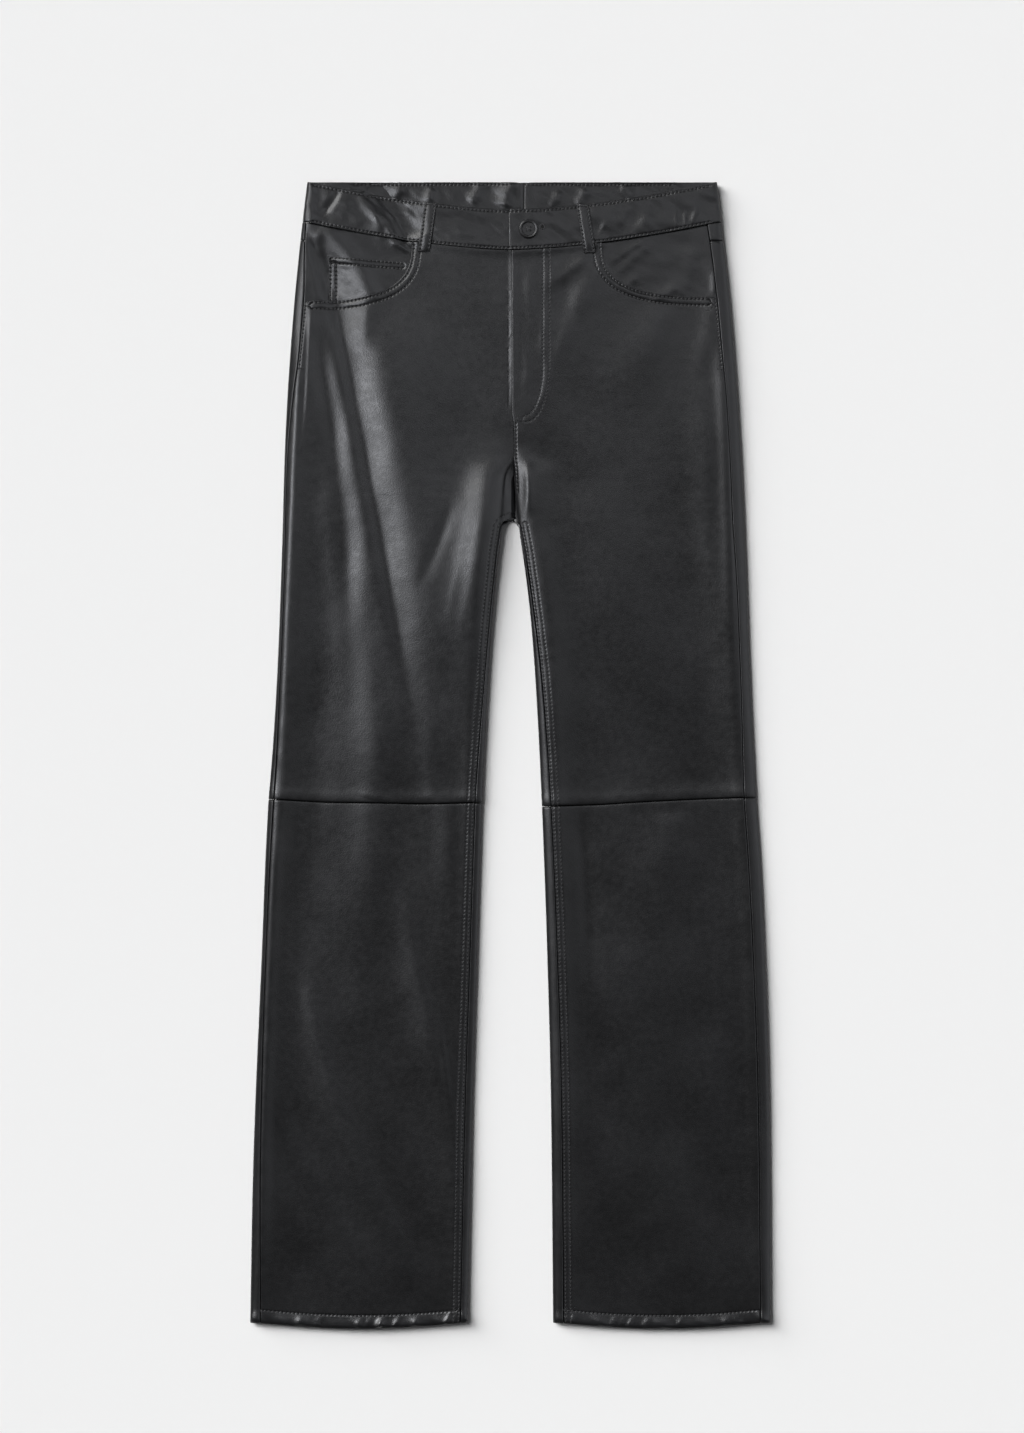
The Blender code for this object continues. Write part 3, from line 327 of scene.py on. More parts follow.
# The same for the hollows that lift the leather of the underside off the floor
UNDER_CREASES_MM = (
    # Seat
    ((-24, 250), (-70, 232), (-130, 240), 0.9, 7, 5, 0.3, 0.4, 1.2),
    ((24, 250), (74, 236), (138, 246), 0.8, 6, 5, 0.3, 0.4, 1.2),
    ((-40, 212), (-88, 200), (-150, 214), 0.6, 5, 7, 0.2, 0.4),
    ((38, 206), (80, 198), (128, 204), 0.6, 5, 6),
    ((-150, 420), (-128, 330), (-96, 262), 0.7, 12, 9, 0.2, 0.4),
    ((142, 410), (124, 318), (86, 258), 0.6, 11, 9),
    # Thighs and knees
    ((-120, 180), (-112, 90), (-118, 10), 0.7, 14, 11, 0.3, 0.3, 1.1),
    ((110, 170), (122, 84), (116, 4), 0.6, 13, 12, 0.3, 0.4),
    ((-60, 4), (-112, -8), (-186, 6), 0.8, 5, 6, 0.2, 0.3, 1.2),
    ((-66, -30), (-120, -44), (-170, -34), 0.9, 6, 5, 0.2, 0.4),
    ((-78, -66), (-134, -78), (-196, -60), 0.6, 6, 7, 0.3, 0.2),
    ((64, 0), (120, -14), (180, -2), 0.8, 6, 5),
    ((70, -38), (128, -50), (190, -36), 0.8, 5, 6, 0.2, 0.2, 1.2),
    ((84, -74), (140, -88), (186, -76), 0.5, 7, 6),
    # Calves and ankles
    ((-176, -110), (-140, -240), (-120, -380), 0.7, 12, 10, 0.2, 0.3),
    ((110, -130), (140, -250), (168, -400), 0.7, 12, 10, 0.3, 0.3, 1.1),
    ((-84, -420), (-130, -444), (-180, -436), 0.5, 8, 8, 0.2, 0.3),
    ((92, -440), (140, -458), (190, -446), 0.5, 8, 7, 0.3, 0.2),
)
UNDER_DRIFT, UNDER_CELL = 0.15 * MM, 45 * MM
UNDER_HEM, UNDER_WAIST = (-540 * MM, -500 * MM), (440 * MM, 480 * MM)  # where the hollows end
CREASE_STEPS = 14
CREASE_REACH = 2.6  # in flank widths
SOFT_END = 0.1

# Unevenness of all the leather, and what closely creased pieces have besides: height in millimetres,
# shares of x and y in its two directions, cell in millimetres and seed
WAVES = ((0.3, (1, 0.2), (0, 0.5), 40, 3), (0.1, (1, -0.2), (0, 0.6), 17, 8), (0.05, (0.7, 0), (0, 1), 6, 21))
CLOSE_WAVES = ((0.16, (0.8, 1), (-0.3, 1), 9, 31), (0.05, (1, 1), (0, 1), 4, 33))
LATTICE_SIZE, LATTICE_SWING = 256, 1.8

# The hems: how they swell below their stitches, and puckers, short slanting ripples, each as
# (x of its middle line in millimetres, share of the full height)
HEM_SWELL, HEM_UNEVEN, HEM_CELL = 1.2 * MM, 0.7, 6 * MM
HEM_RISE, HEM_FALL = (-1 * MM, 8 * MM), (9 * MM, 13 * MM)
PUCKER_HEIGHT, PUCKER_WIDTH, PUCKER_SLANT = 1.2 * MM, 2.4 * MM, 0.5
HEM_PUCKERS_MM = {
    "right": (
        (-197, 0.8), (-180, 0.7), (-141, 0.8), (-133, 0.6), (-121, 1.6), (-106, 0.7), (-88, 0.7), (-58, 0.6),
    ),
    "left": ((60, 0.4), (98, 0.9), (106, 0.7), (114, 0.8), (129, 0.7), (160, 0.4), (204, 0.4)),
}

# Leather pieces, those that both sides have and single ones
PAIRED_CUTS = {
    "front_upper": Cut(2, 1, False, 0, ("outseam_upper", "inseam_upper", "knee"), (0.216, 0.53), 0.098),
    "front_lower": Cut(3, 0, False, 0, ("outseam_lower", "inseam_lower", "knee"), (0.2, 0.5), 0.096),
    "back_upper": Cut(2, 0, True, 0, ("outseam_upper", "inseam_upper"), (0.26, 0.54), 0.118),
    "back_lower": Cut(2, 0, True, 0, ("outseam_lower", "inseam_lower"), (0.24, 0.5), 0.11),
    "back_yoke": Cut(2, 0, True, 0.5, (), (0.2, 0.055), 0.0075),
    "waistband": Cut(3, 1, True, 3.0, (), (0.4, 0.04), 0.0155),
    "pocket_facing": Cut(3, 0, False, 1.1, (), (0.13, 0.07), 0.0075),
    "belt_loop_front": Cut(2, 1, False, 0.6, (), (0.011, 0.05), 0.0005),
}
SINGLE_CUTS = {"coin_pocket": Cut(3, 1, False, 1.6, (), (0.075, 0.045), 0.0031)}
for name in BACK_LOOPS_MM:
    SINGLE_CUTS["belt_loop_back_" + name] = Cut(3, 0, True, 0, (), (0.011, 0.046))


# Small helpers


def ramp(value, start, end):
    """0 before start, 1 past end and smooth between them."""
    t = np.clip((value - start) / (end - start), 0, 1)
    return t * t * (3 - 2 * t)


def hump(away, width):
    """1 at a line, falling off softly on both sides of it, to about a third at its width."""
    return np.exp(-((away / width) ** 2))


def only_select(obj):
    for other in bpy.context.selected_objects:
        other.select_set(False)
    obj.select_set(True)
    bpy.context.view_layer.objects.active = obj


def edit_selected(obj, kind, picked):
    """Opens an object in edit mode with the picked faces or vertices selected."""
    only_select(obj)
    bpy.ops.object.mode_set(mode="EDIT")
    bpy.ops.mesh.select_mode(type=kind)
    bpy.ops.mesh.select_all(action="DESELECT")
    bpy.ops.object.mode_set(mode="OBJECT")
    parts = obj.data.polygons if kind == "FACE" else obj.data.vertices
    parts.foreach_set("select", picked)
    bpy.ops.object.mode_set(mode="EDIT")


def points_of(obj):
    flat = np.empty(len(obj.data.vertices) * 3)
    obj.data.vertices.foreach_get("co", flat)
    return flat.reshape(-1, 3)


def set_points(obj, points):
    obj.data.vertices.foreach_set("co", np.ascontiguousarray(points, dtype=np.float64).ravel())
    obj.data.update()


def arc_through(start, through, end):
    """Points of the curve that runs from start through its middle to end."""
    start, through, end = (np.array(p, dtype=float) for p in (start, through, end))
    control = 2 * through - (start + end) / 2
    t = np.linspace(0, 1, CREASE_STEPS + 1)[:, None]
    return (1 - t) ** 2 * start + 2 * t * (1 - t) * control + t * t * end


def to_line(x, y, line):
    """Distance from each place to a line of points, the side it lies on and how far along it is.

    The side runs from -1 towards -X+Y to 1 towards +X-Y, and turns smoothly round the ends.
    """
    nearest = np.full(x.shape, FAR)
    side = np.zeros(x.shape)
    along = np.zeros(x.shape)
    last = len(line) - 1
    facing = np.sign(line[-1][1] - line[0][1] + line[-1][0] - line[0][0]) or 1
    for k in range(last):
        ax, ay = line[k][:2]
        dx, dy = line[k + 1][0] - ax, line[k + 1][1] - ay
        long = math.hypot(dx, dy)
        t = np.clip(((x - ax) * dx + (y - ay) * dy) / long**2, 0, 1)
        off_x, off_y = x - ax - t * dx, y - ay - t * dy
        away = np.hypot(off_x, off_y)
        across = (off_x * dy - off_y * dx) / long
        closer = away < nearest
        nearest = np.where(closer, away, nearest)
        side = np.where(closer, facing * across / np.maximum(away, 1e-7), side)
        along = np.where(closer, (k + t) / last, along)
    return nearest, side, along


def within(x, y, line, reach):
    """Whether each place is in the box around a line, widened by a reach."""
    low, high = line[:, :2].min(axis=0) - reach, line[:, :2].max(axis=0) + reach
    return (x > low[0]) & (x < high[0]) & (y > low[1]) & (y < high[1])


def spline_weights(t):
    """Shares of four neighbours in a row at t between the middle two, which leave no visible grid."""
    return (1 - t) ** 3 / 6, (3 * t**3 - 6 * t**2 + 4) / 6, (-3 * t**3 + 3 * t**2 + 3 * t + 1) / 6, t**3 / 6


def rumple(x, y, cell, seed):
    """Smooth uneven waves between -1 and 1, with bumps about one cell across."""
    size = LATTICE_SIZE
    lattice = np.random.RandomState(seed).uniform(-LATTICE_SWING, LATTICE_SWING, (size, size))
    u, v = x / cell + size / 2, y / cell + size / 2
    i, j = np.floor(u).astype(int), np.floor(v).astype(int)
    across, along = spline_weights(u - i), spline_weights(v - j)
    total = np.zeros(np.shape(u + v))
    for p in range(4):
        for q in range(4):
            total += across[p] * along[q] * lattice[(i + p) % size, (j + q) % size]
    return total


# Materials


def feed(node, **inputs):
    """Sets a node's inputs, or links them to outputs. An underscore in a name stands for a space."""
    for name, value in inputs.items():
        socket = node.inputs[name.replace("_", " ")]
        if isinstance(value, bpy.types.NodeSocket):
            node.id_data.links.new(value, socket)
        else:
            socket.default_value = value


def new_node(tree, kind, settings=None, **inputs):
    """A shader node with its settings made and its inputs fed."""
    node = tree.nodes.new("ShaderNode" + kind)
    for name, value in (settings or {}).items():
        setattr(node, name, value)
    feed(node, **inputs)
    return node


def map_range(tree, source, low, high):
    """A noise spread out between two values."""
    start, end = NOISE_RANGE
    node = new_node(tree, "MapRange", Value=source, From_Min=start, From_Max=end, To_Min=low, To_Max=high)
    return node.outputs["Result"]


def math_node(tree, operation, *values):
    """The result of a Math node on numbers or outputs."""
    node = new_node(tree, "Math", {"operation": operation})
    for socket, value in zip(node.inputs, values):
        if isinstance(value, bpy.types.NodeSocket):
            tree.links.new(value, socket)
        else:
            socket.default_value = value
    return node.outputs[0]


def bell(tree, away, sharpness):
    """1 where a distance is 0, falling off on both sides, the faster the sharper it is."""
    squared = math_node(tree, "MULTIPLY", away, away)
    return math_node(tree, "EXPONENT", math_node(tree, "MULTIPLY", squared, -sharpness))


def blend(tree, share, first, second):
    """A colour between two, by a share that changes over the surface."""
    mix = new_node(tree, "Mix", {"data_type": "RGBA"}, Factor=share, A=first, B=second)
    return mix.outputs["Result"]


def new_group(name, inputs, outputs):
    """A node group, its entry and its exit. Inputs are pairs of a name and a kind, outputs are floats."""
    group = bpy.data.node_groups.new(name, "ShaderNodeTree")
    for socket, kind in inputs:
        group.interface.new_socket(socket, in_out="INPUT", socket_type="NodeSocket" + kind)
    for socket in outputs:
        group.interface.new_socket(socket, in_out="OUTPUT", socket_type="NodeSocketFloat")
    return group, group.nodes.new("NodeGroupInput"), group.nodes.new("NodeGroupOutput")


def make_grain_group():
    """Leather grain: pebbles broken by fine noise, and slow changes of tone."""
    sockets = [("Position", "Vector")] + [(name.replace("_", " "), "Float") for name in GRAIN_SCALES]
    group, entry, out = new_group("leather_grain", sockets, ("Height", "Tone", "Polish"))

    def texture(kind, name, settings=None, **inputs):
        place, scale = entry.outputs["Position"], entry.outputs[name + " Scale"]
        return new_node(group, kind, settings, Vector=place, Scale=scale, **inputs)

    pebbles = texture("TexVoronoi", "Pebble", {"feature": "SMOOTH_F1"}, Randomness=1.0, Smoothness=0.35)
    crinkle = texture("TexNoise", "Crinkle", Detail=5.0, Roughness=0.62).outputs["Fac"]
    tone = texture("TexNoise", "Tone", Detail=3.0, Roughness=0.55).outputs["Fac"]
    height = math_node(group, "MULTIPLY_ADD", crinkle, CRINKLE_SHARE, pebbles.outputs["Distance"])
    feed(out, Height=height, Tone=tone, Polish=crinkle)
    return group


def make_stitched_group():
    """Marks along a row of stitches: a groove that dips at each needle hole, and painted shade in the needle
    holes.
    """
    sockets = [("Row", "Vector"), ("Nearness", "Float")]
    group, entry, out = new_group("stitched_row", sockets, ("Groove", "Holes"))
    split = new_node(group, "SeparateXYZ", Vector=entry.outputs["Row"])
    away = math_node(group, "ABSOLUTE", split.outputs["Y"])
    from_row = math_node(group, "SUBTRACT", away, split.outputs["Z"])
    turn = math_node(group, "MULTIPLY", split.outputs["X"], 2 * math.pi)
    wave = math_node(group, "MULTIPLY_ADD", math_node(group, "COSINE", turn), 0.5, 0.5)
    dip = math_node(group, "MULTIPLY_ADD", wave, HOLE_DIP, 1 - HOLE_DIP)
    groove = math_node(group, "MULTIPLY", bell(group, from_row, GROOVE_SHARPNESS), dip)
    # Painted shade: a dark spot in each needle hole, at the ends of the stitches
    painted_hole_shade = math_node(group, "POWER", wave, HOLE_POWER)
    painted_hole_shade = math_node(group, "MULTIPLY", painted_hole_shade, bell(group, from_row, HOLE_SHARPNESS))
    groove, painted_hole_shade = (math_node(group, "MULTIPLY", mark, entry.outputs["Nearness"]) for mark in (groove, painted_hole_shade))
    feed(out, Groove=groove, Holes=painted_hole_shade)
    return group


def new_material(name):
    """A node material, its tree and its shader."""
    made = bpy.data.materials.new(name)
    made.use_nodes = True
    return made, made.node_tree, made.node_tree.nodes["Principled BSDF"]


def leather(grain, stitched):
    """Black leather: a tone that drifts and wears lighter on raised folds, painted shade that darkens its
    troughs, grain, and grooves along the sewing.

    Metallic takes the gloss off the bottom of the seams and needle holes, where the colour is near black:
    painted shade in the seams, the needle holes, the crotch's parting and along the fly's edge.
    """
    made, tree, shader = new_material("black_leather")
    place = new_node(tree, "TexCoord").outputs["Object"]
    surface = new_node(tree, "Group", {"node_tree": grain}, Position=place, **GRAIN_SCALES).outputs
    names = ("row", "sewn", "wear_and_shade", "seam")
    row, sewn, wear_and_shade, seam = (
        new_node(tree, "Attribute", {"attribute_name": name}).outputs for name in names
    )
    sewing = new_node(tree, "Group", {"node_tree": stitched}, Row=row["Vector"], Nearness=sewn["Fac"]).outputs

    # Raised folds are worn lighter; troughs and the crotch's parting are darkened, which is painted shade
    worn_and_shaded = math_node(tree, "ADD", map_range(tree, surface["Tone"], 0.0, SKIN_TINT_SHARE), wear_and_shade["Fac"])
    # Painted shade: needle holes take a darker colour, and seams and needle holes lose their gloss
    lighter = math_node(tree, "SUBTRACT", worn_and_shaded, sewing["Holes"])
    painted_crack_shade = math_node(tree, "MAXIMUM", bell(tree, seam["Fac"], SEAM_SHARPNESS), sewing["Holes"])
    gloss = map_range(tree, surface["Polish"], *(SKIN_POLISH + spread for spread in POLISH_SPREAD))
    gloss = math_node(tree, "ADD", gloss, map_range(tree, surface["Tone"], 0.0, TONE_ROUGHNESS))
    pulled = new_node(
        tree, "Bump", {"invert": True}, Strength=1.0, Distance=GROOVE_DEPTH, Height=sewing["Groove"]
    )
    raised = new_node(
        tree, "Bump", Strength=GRAIN_STRENGTH, Distance=GRAIN_DEPTH, Height=surface["Height"],
        Normal=pulled.outputs["Normal"],
    )
    feed(
        shader,
        Base_Color=blend(tree, lighter, SKIN_COLOUR, SKIN_TINT),
        Metallic=math_node(tree, "MULTIPLY", painted_crack_shade, CRACK_SHADE_METAL),
        Roughness=math_node(tree, "MULTIPLY_ADD", sewing["Holes"], HOLE_ROUGHNESS, gloss),
        Normal=raised.outputs["Normal"],
    )
    return made


def thread_material():
    """Twisted sewing thread, a little lighter than the leather."""
    made, tree, shader = new_material("sewing_thread")
    place = new_node(tree, "TexCoord").outputs["Object"]
    twist = new_node(tree, "TexNoise", Vector=place, Scale=2600.0, Detail=2.0).outputs["Fac"]
    bump = new_node(tree, "Bump", Strength=0.5, Distance=0.08 * MM, Height=twist)
    colour = blend(tree, twist, THREAD_COLOUR, THREAD_TINT)
    feed(shader, Base_Color=colour, Normal=bump.outputs["Normal"], Roughness=0.55, Sheen_Weight=0.1)
    return made


def moulded_material(name, colour, roughness):
    """A plain moulded finish that is slightly clouded."""
    made, tree, shader = new_material(name)
    place = new_node(tree, "TexCoord").outputs["Object"]
    cloud = new_node(tree, "TexNoise", Vector=place, Scale=700.0, Detail=3.0).outputs["Fac"]
    clouded = map_range(tree, cloud, *(roughness + spread for spread in MOULDED_SPREAD))
    lighter = tuple(channel * MOULDED_TINT for channel in colour[:3]) + (1,)
    feed(shader, Base_Color=blend(tree, cloud, colour, lighter), Roughness=clouded)
    return made


# Leather shells


def dress(obj, finish, node=None):
    """Gives a piece its finish, puts it on the trousers' body and hides the node it stands for."""
    obj.data.materials.clear()
    obj.data.materials.append(finish)
    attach(obj, "root")
    if node:
        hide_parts(node)


def refine_upper(shell, cuts):
    """Splits the faces that look up into finer ones and smooths them, most of all round the fork."""
    edit_selected(shell, "FACE", np.array([face.normal.z > UPWARD for face in shell.data.polygons]))
    if cuts:
        bpy.ops.mesh.subdivide(number_cuts=cuts)
    bpy.ops.mesh.select_less()
    bpy.ops.mesh.vertices_smooth(factor=0.5, repeat=SMOOTHING)
    bpy.ops.object.mode_set(mode="OBJECT")
    picked = np.array([vertex.select for vertex in shell.data.vertices])
    level = points_of(shell)[:, 1]
    picked &= (level > FORK - FORK_REACH) & (level < FORK + FORK_REACH)
    if picked.any():
        edit_selected(shell, "VERT", picked)
        bpy.ops.mesh.vertices_smooth(factor=0.5, repeat=FORK_SMOOTHING)
        bpy.ops.object.mode_set(mode="OBJECT")


def split_wide_faces(mesh):
    """Cuts the upper faces that are much wider than the rest into columns, so that they smooth alike."""
    work = bmesh.from_edit_mesh(mesh)
    margin = FACE_MARGIN * FACE_WIDTH
    for column in range(-LAST_COLUMN, LAST_COLUMN):
        x = (column + 0.5) * FACE_WIDTH
        wide = []
        for face in work.faces:
            places = [corner.co.x for corner in face.verts]
            low, high = min(places), max(places)
            too_wide = face.normal.z > UPWARD and high - low > FACE_LIMIT * FACE_WIDTH
            if too_wide and low + margin < x < high - margin:
                wide.append(face)
        around = dict.fromkeys(part for face in wide for part in (*face.edges, *face.verts))
        bmesh.ops.bisect_plane(work, geom=[*wide, *around], plane_co=(x, 0, 0), plane_no=(1, 0, 0))
    bmesh.update_edit_mesh(mesh)


def shell_of(node, levels, cuts):
    """A copy of a solid, welded, turned back into quads and refined into smooth leather."""
    source = frame["nodes"][node]
    shell = source.copy()
    shell.data = source.data.copy()
    shell.name = node + "_leather"
    bpy.context.scene.collection.objects.link(shell)
    only_select(shell)
    bpy.ops.object.mode_set(mode="EDIT")
    bpy.ops.mesh.select_mode(type="EDGE")
    bpy.ops.mesh.select_all(action="SELECT")
    bpy.ops.mesh.remove_doubles(threshold=WELD)
    bpy.ops.mesh.tris_convert_to_quads(face_threshold=QUAD_BEND, shape_threshold=QUAD_SKEW)
    split_wide_faces(shell.data)
    bpy.ops.mesh.select_all(action="DESELECT")
    bpy.ops.mesh.edges_select_sharp(sharpness=SHARP_EDGE)
    bpy.ops.transform.edge_crease(value=EDGE_CREASE)
    bpy.ops.object.mode_set(mode="OBJECT")
    smooth = shell.modifiers.new("smooth", "SUBSURF")
    smooth.levels = smooth.render_levels = levels
    bpy.ops.object.modifier_apply(modifier=smooth.name)
    refine_upper(shell, cuts)
    shell.data.shade_smooth()
    return shell


def crease_height(x, y, creases):
    """Height that all the creases of a list add at each place."""
    total = np.zeros(x.shape)
    for start, through, end, height, left, right, rise, fall, spread in (Crease(*row) for row in creases):
        line = arc_through(start, through, end) * MM
        near = within(x, y, line, CREASE_REACH * max(left, right) * max(spread, 1) * MM)
        if not near.any():
            continue
        away, side, along = to_line(x[near], y[near], line)
        width = (left + (right - left) * (side + 1) / 2) * MM * (1 + (spread - 1) * along)
        fade = ramp(along, -SOFT_END, rise + SOFT_END) * (1 - ramp(along, 1 - fall - SOFT_END, 1 + SOFT_END))
        total[near] += height * MM * fade * hump(away, width)
    return total


def uneven(x, y, waves):
    """Height that all the waves of a list add at each place."""
    total = np.zeros(x.shape)
    for height, (u_x, u_y), (v_x, v_y), cell, seed in waves:
        total += height * MM * rumple(u_x * x + u_y * y, v_x * x + v_y * y, cell * MM, seed)
    return total


def under_hollows(x, y):
    """How far the leather of the underside is off the floor."""
    drift = UNDER_DRIFT * (1 + rumple(x, y * 0.6, UNDER_CELL, 52))
    ends = ramp(y, *UNDER_HEM) * (1 - ramp(y, *UNDER_WAIST))
    return (crease_height(x, y, UNDER_CREASES_MM) + drift) * ends


def hem_level(side, x):
    """Level of a hem's edge, which hangs lowest in the middle of the leg."""
    inner, outer = (edge * MM for edge in HEM_SPAN_MM[side])
    share = np.clip((x * SIGN[side] - inner) / (outer - inner), 0, 1)
    return HEM_EDGE - HEM_SAG * (1 - (2 * share - 1) ** 2)


def hem_puckers(x, y):
    """The turned-up hem swells unevenly below its row of stitches, with ripples that slant across it."""
    total = np.zeros(x.shape)
    swell = HEM_SWELL * (1 + HEM_UNEVEN * rumple(x + 0.5 * y, y * 0.4, HEM_CELL, 61))
    for side in SIDES:
        down = hem_level(side, x) + HEM_TURN - y
        turned = ramp(down, *HEM_RISE) * (1 - ramp(down, *HEM_FALL)) * (x * SIGN[side] > 0)
        total += turned * swell
        for middle, share in HEM_PUCKERS_MM[side]:
            off = x - middle * MM + PUCKER_SLANT * down
            total += turned * share * PUCKER_HEIGHT * hump(off, PUCKER_WIDTH)
    return total


def seam_hollows(x, y, seams):
    """How far seams press the leather in, with ripples along them, and the distance to the nearest."""
    lift = np.zeros(x.shape)
    to_seam = np.full(x.shape, SEAM_FAR)
    for number, seam in enumerate(seams):
        near = within(x, y, seam, SEAM_FAR)
        away, _, along = to_line(x[near], y[near], seam)
        to_seam[near] = np.minimum(to_seam[near], away)
        ripple = rumple(along * length_of(seam), away * 0.2, SEAM_RIPPLE_CELL, 40 + number)
        lift[near] += SEAM_RIPPLE * ripple * hump(away, SEAM_RIPPLE_WIDTH)
        lift[near] -= SEAM_DEPTH * hump(away, SEAM_HALF_WIDTH)
    return lift, to_seam


def row_marks(x, y, facing, rows):
    """What rows of stitches do to a piece whose normals have the heights in facing.

    Returns how far they lift the leather of the upper side and of the underside, the nearest row as
    stitches along it, millimetres across it and half its gap, and how strongly it marks the leather.
    """
    above_lift, below_lift = np.zeros(x.shape), np.zeros(x.shape)
    mark = np.zeros((len(x), 3))
    nearness = np.zeros(x.shape)
    closest = np.full(x.shape, FAR)
    for number, row in enumerate(rows):
        seen = facing < SIDE_LIMIT if row.below else facing > -SIDE_LIMIT
        near = within(x, y, row.line, ROW_REACH) & seen
        if not near.any():
            continue
        away, side, along = to_line(x[near], y[near], row.line)
        across = away * np.where(side < 0, -1, 1)
        travel = along * length_of(row.line)
        from_row = np.abs(away - row.gap)
        wave = ROW_UNEVEN * (1 + rumple(travel, across * 0.4, ROW_CELL, 70 + number))
        dent = -ROW_DEPTH * row.pull * wave * hump(from_row, ROW_HALF_WIDTH)
        if row.puff:
            dent += row.puff * (0.8 + 0.5 * wave) * hump(away, PUFF_WIDTH * row.gap)
        if row.below:
            below_lift[near] -= dent * UNDER_SHARE
        else:
            above_lift[near] += dent
        best = closest[near] > from_row
        target = np.flatnonzero(near)[best]
        closest[target] = from_row[best]
        mark[target, 0] = (travel / STITCH_PITCH)[best]
        mark[target, 1] = (across / MM)[best]
        mark[target, 2] = row.gap / MM
        nearness[target] = row.pull * (1 - ramp(np.maximum(away - row.gap, 0), *ROW_FADE))[best]
    return above_lift, below_lift, mark, nearness


def press(shell, cut, rows, seams, parting, waist):
    """Presses creases, seam hollows and rows of stitches into a shell, and marks where the rows run.

    On a piece that wraps round to the floor, only the leather on the upper side takes the creases.
    parting is how deep the piece dives under its neighbour where the fronts part at the crotch.
    """
    points = points_of(shell)
    x, y, z = points.T.copy()
    normals = np.empty(len(points) * 3, dtype=np.float32)
    shell.data.vertex_normals.foreach_get("vector", normals)
    upper = ramp(z, *WRAP_LEVELS) if cut.wraps else np.ones(x.shape)

    lift = crease_height(x, y, CREASES_MM) + hem_puckers(x, y)
    lift += uneven(x, y, WAVES) + cut.creased * uneven(x, y, CLOSE_WAVES)
    dive = ramp(y, *PARTING_START) * (1 - ramp(y, *PARTING_END)) * ramp(x, *PARTING_SLOPE) * (parting > 0)
    lift -= parting * dive
    # The folds' tone: lighter where raised, as wear, and darker where sunk, as painted shade
    wear_and_shade = np.clip(lift / WEAR_AND_SHADE_SCALE, *WEAR_AND_SHADE_RANGE)
    hollows, to_seam = seam_hollows(x, y, seams)
    # Painted shade: where the right front dives at the crotch, the seam's dark, glossless mark spreads over
    # it
    to_seam = np.minimum(to_seam, SEAM_FAR * (1 - ramp(dive, *PARTING_SHADE)))
    if waist is not None:
        lift += WAIST_EASE * hump(to_line(x, y, waist)[0], WAIST_EASE_WIDTH)
    above_lift, below_lift, mark, nearness = row_marks(x, y, normals.reshape(-1, 3)[:, 2], rows)

    points[:, 2] += below_lift + upper * (lift + hollows + above_lift)
    if cut.wraps:
        points[:, 2] += (1 - upper) * under_hollows(x, y)
    lowest = 0 if cut.wraps else -LOWEST_SINK
    points[:, 2] = np.maximum(points[:, 2], np.minimum(z, lowest))
    set_points(shell, points)
    new_attribute = shell.data.attributes.new
    for name, values in (("wear_and_shade", upper * wear_and_shade), ("sewn", nearness), ("seam", to_seam / MM)):
        new_attribute(name, "FLOAT", "POINT").data.foreach_set("value", values.astype(np.float32))
    new_attribute("row", "FLOAT_VECTOR", "POINT").data.foreach_set("vector", mark.astype(np.float32).ravel())


def make_leather(node, cut, rows, seams=(), parting=0, waist=None):
    """A leather shell in place of a node."""
    shell = shell_of(node, cut.levels, cut.cuts)
    press(shell, cut, rows, seams, parting, waist)
    dress(shell, skin, node)
    return shell


# Lines that the sewing follows


def length_of(line):
    return np.linalg.norm(np.diff(line[:, :2], axis=0), axis=1).sum()


def evened(line, step=4 * MM):
    """The same line with its points an even step apart."""
    line = np.array(line, dtype=float)[:, :2]
    travel = np.concatenate([[0], np.cumsum(np.linalg.norm(np.diff(line, axis=0), axis=1))])
    at = np.linspace(0, travel[-1], max(3, int(travel[-1] / step) + 1))
    return np.stack([np.interp(at, travel, line[:, k]) for k in range(2)], axis=1)


def sideways(line):
    """Directions to the left of a line's own, one at each of its points."""
    ahead = np.gradient(line[:, :2], axis=0)
    ahead /= np.linalg.norm(ahead, axis=1)[:, None]
    return np.stack([-ahead[:, 1], ahead[:, 0]], axis=1)


def shifted(line, distance):
    """A line moved to its left."""
    return line + sideways(line) * distance


def above(line, level):
    """The part of a line above a level."""
    return evened(line[line[:, 1] > level])


def straight(*corners):
    """A line through corners in millimetres."""
    return evened(np.array(corners) * MM)


def seam_line(node, neighbour, along, outer=None):
    """The line on the upper side where one solid meets another, in order along an axis (0 x, 1 y).

    outer picks the seam on the outer or the inner edge of a leg, where both are seams with one piece.
    """
    points = points_of(frame["nodes"][node])
    tree = BVHTree.FromObject(frame["nodes"][neighbour], bpy.context.evaluated_depsgraph_get())
    near = [p for p in points if tree.find_nearest(Vector(p), 0.75 * MM)[0] is not None]
    if outer is not None:
        middle = np.mean([abs(p[0]) for p in points])
        near = [p for p in near if (abs(p[0]) > middle) == outer]
    highest = {}
    for p in near:
        key = round(p[along] / MM)
        if key not in highest or p[2] > highest[key][2]:
            highest[key] = p
    line = np.array([highest[key] for key in sorted(highest)])
    keep = [0]
    for k in range(1, len(line)):
        if line[k][along] - line[keep[-1]][along] > 2 * MM:
            keep.append(k)
    return evened(line[keep])


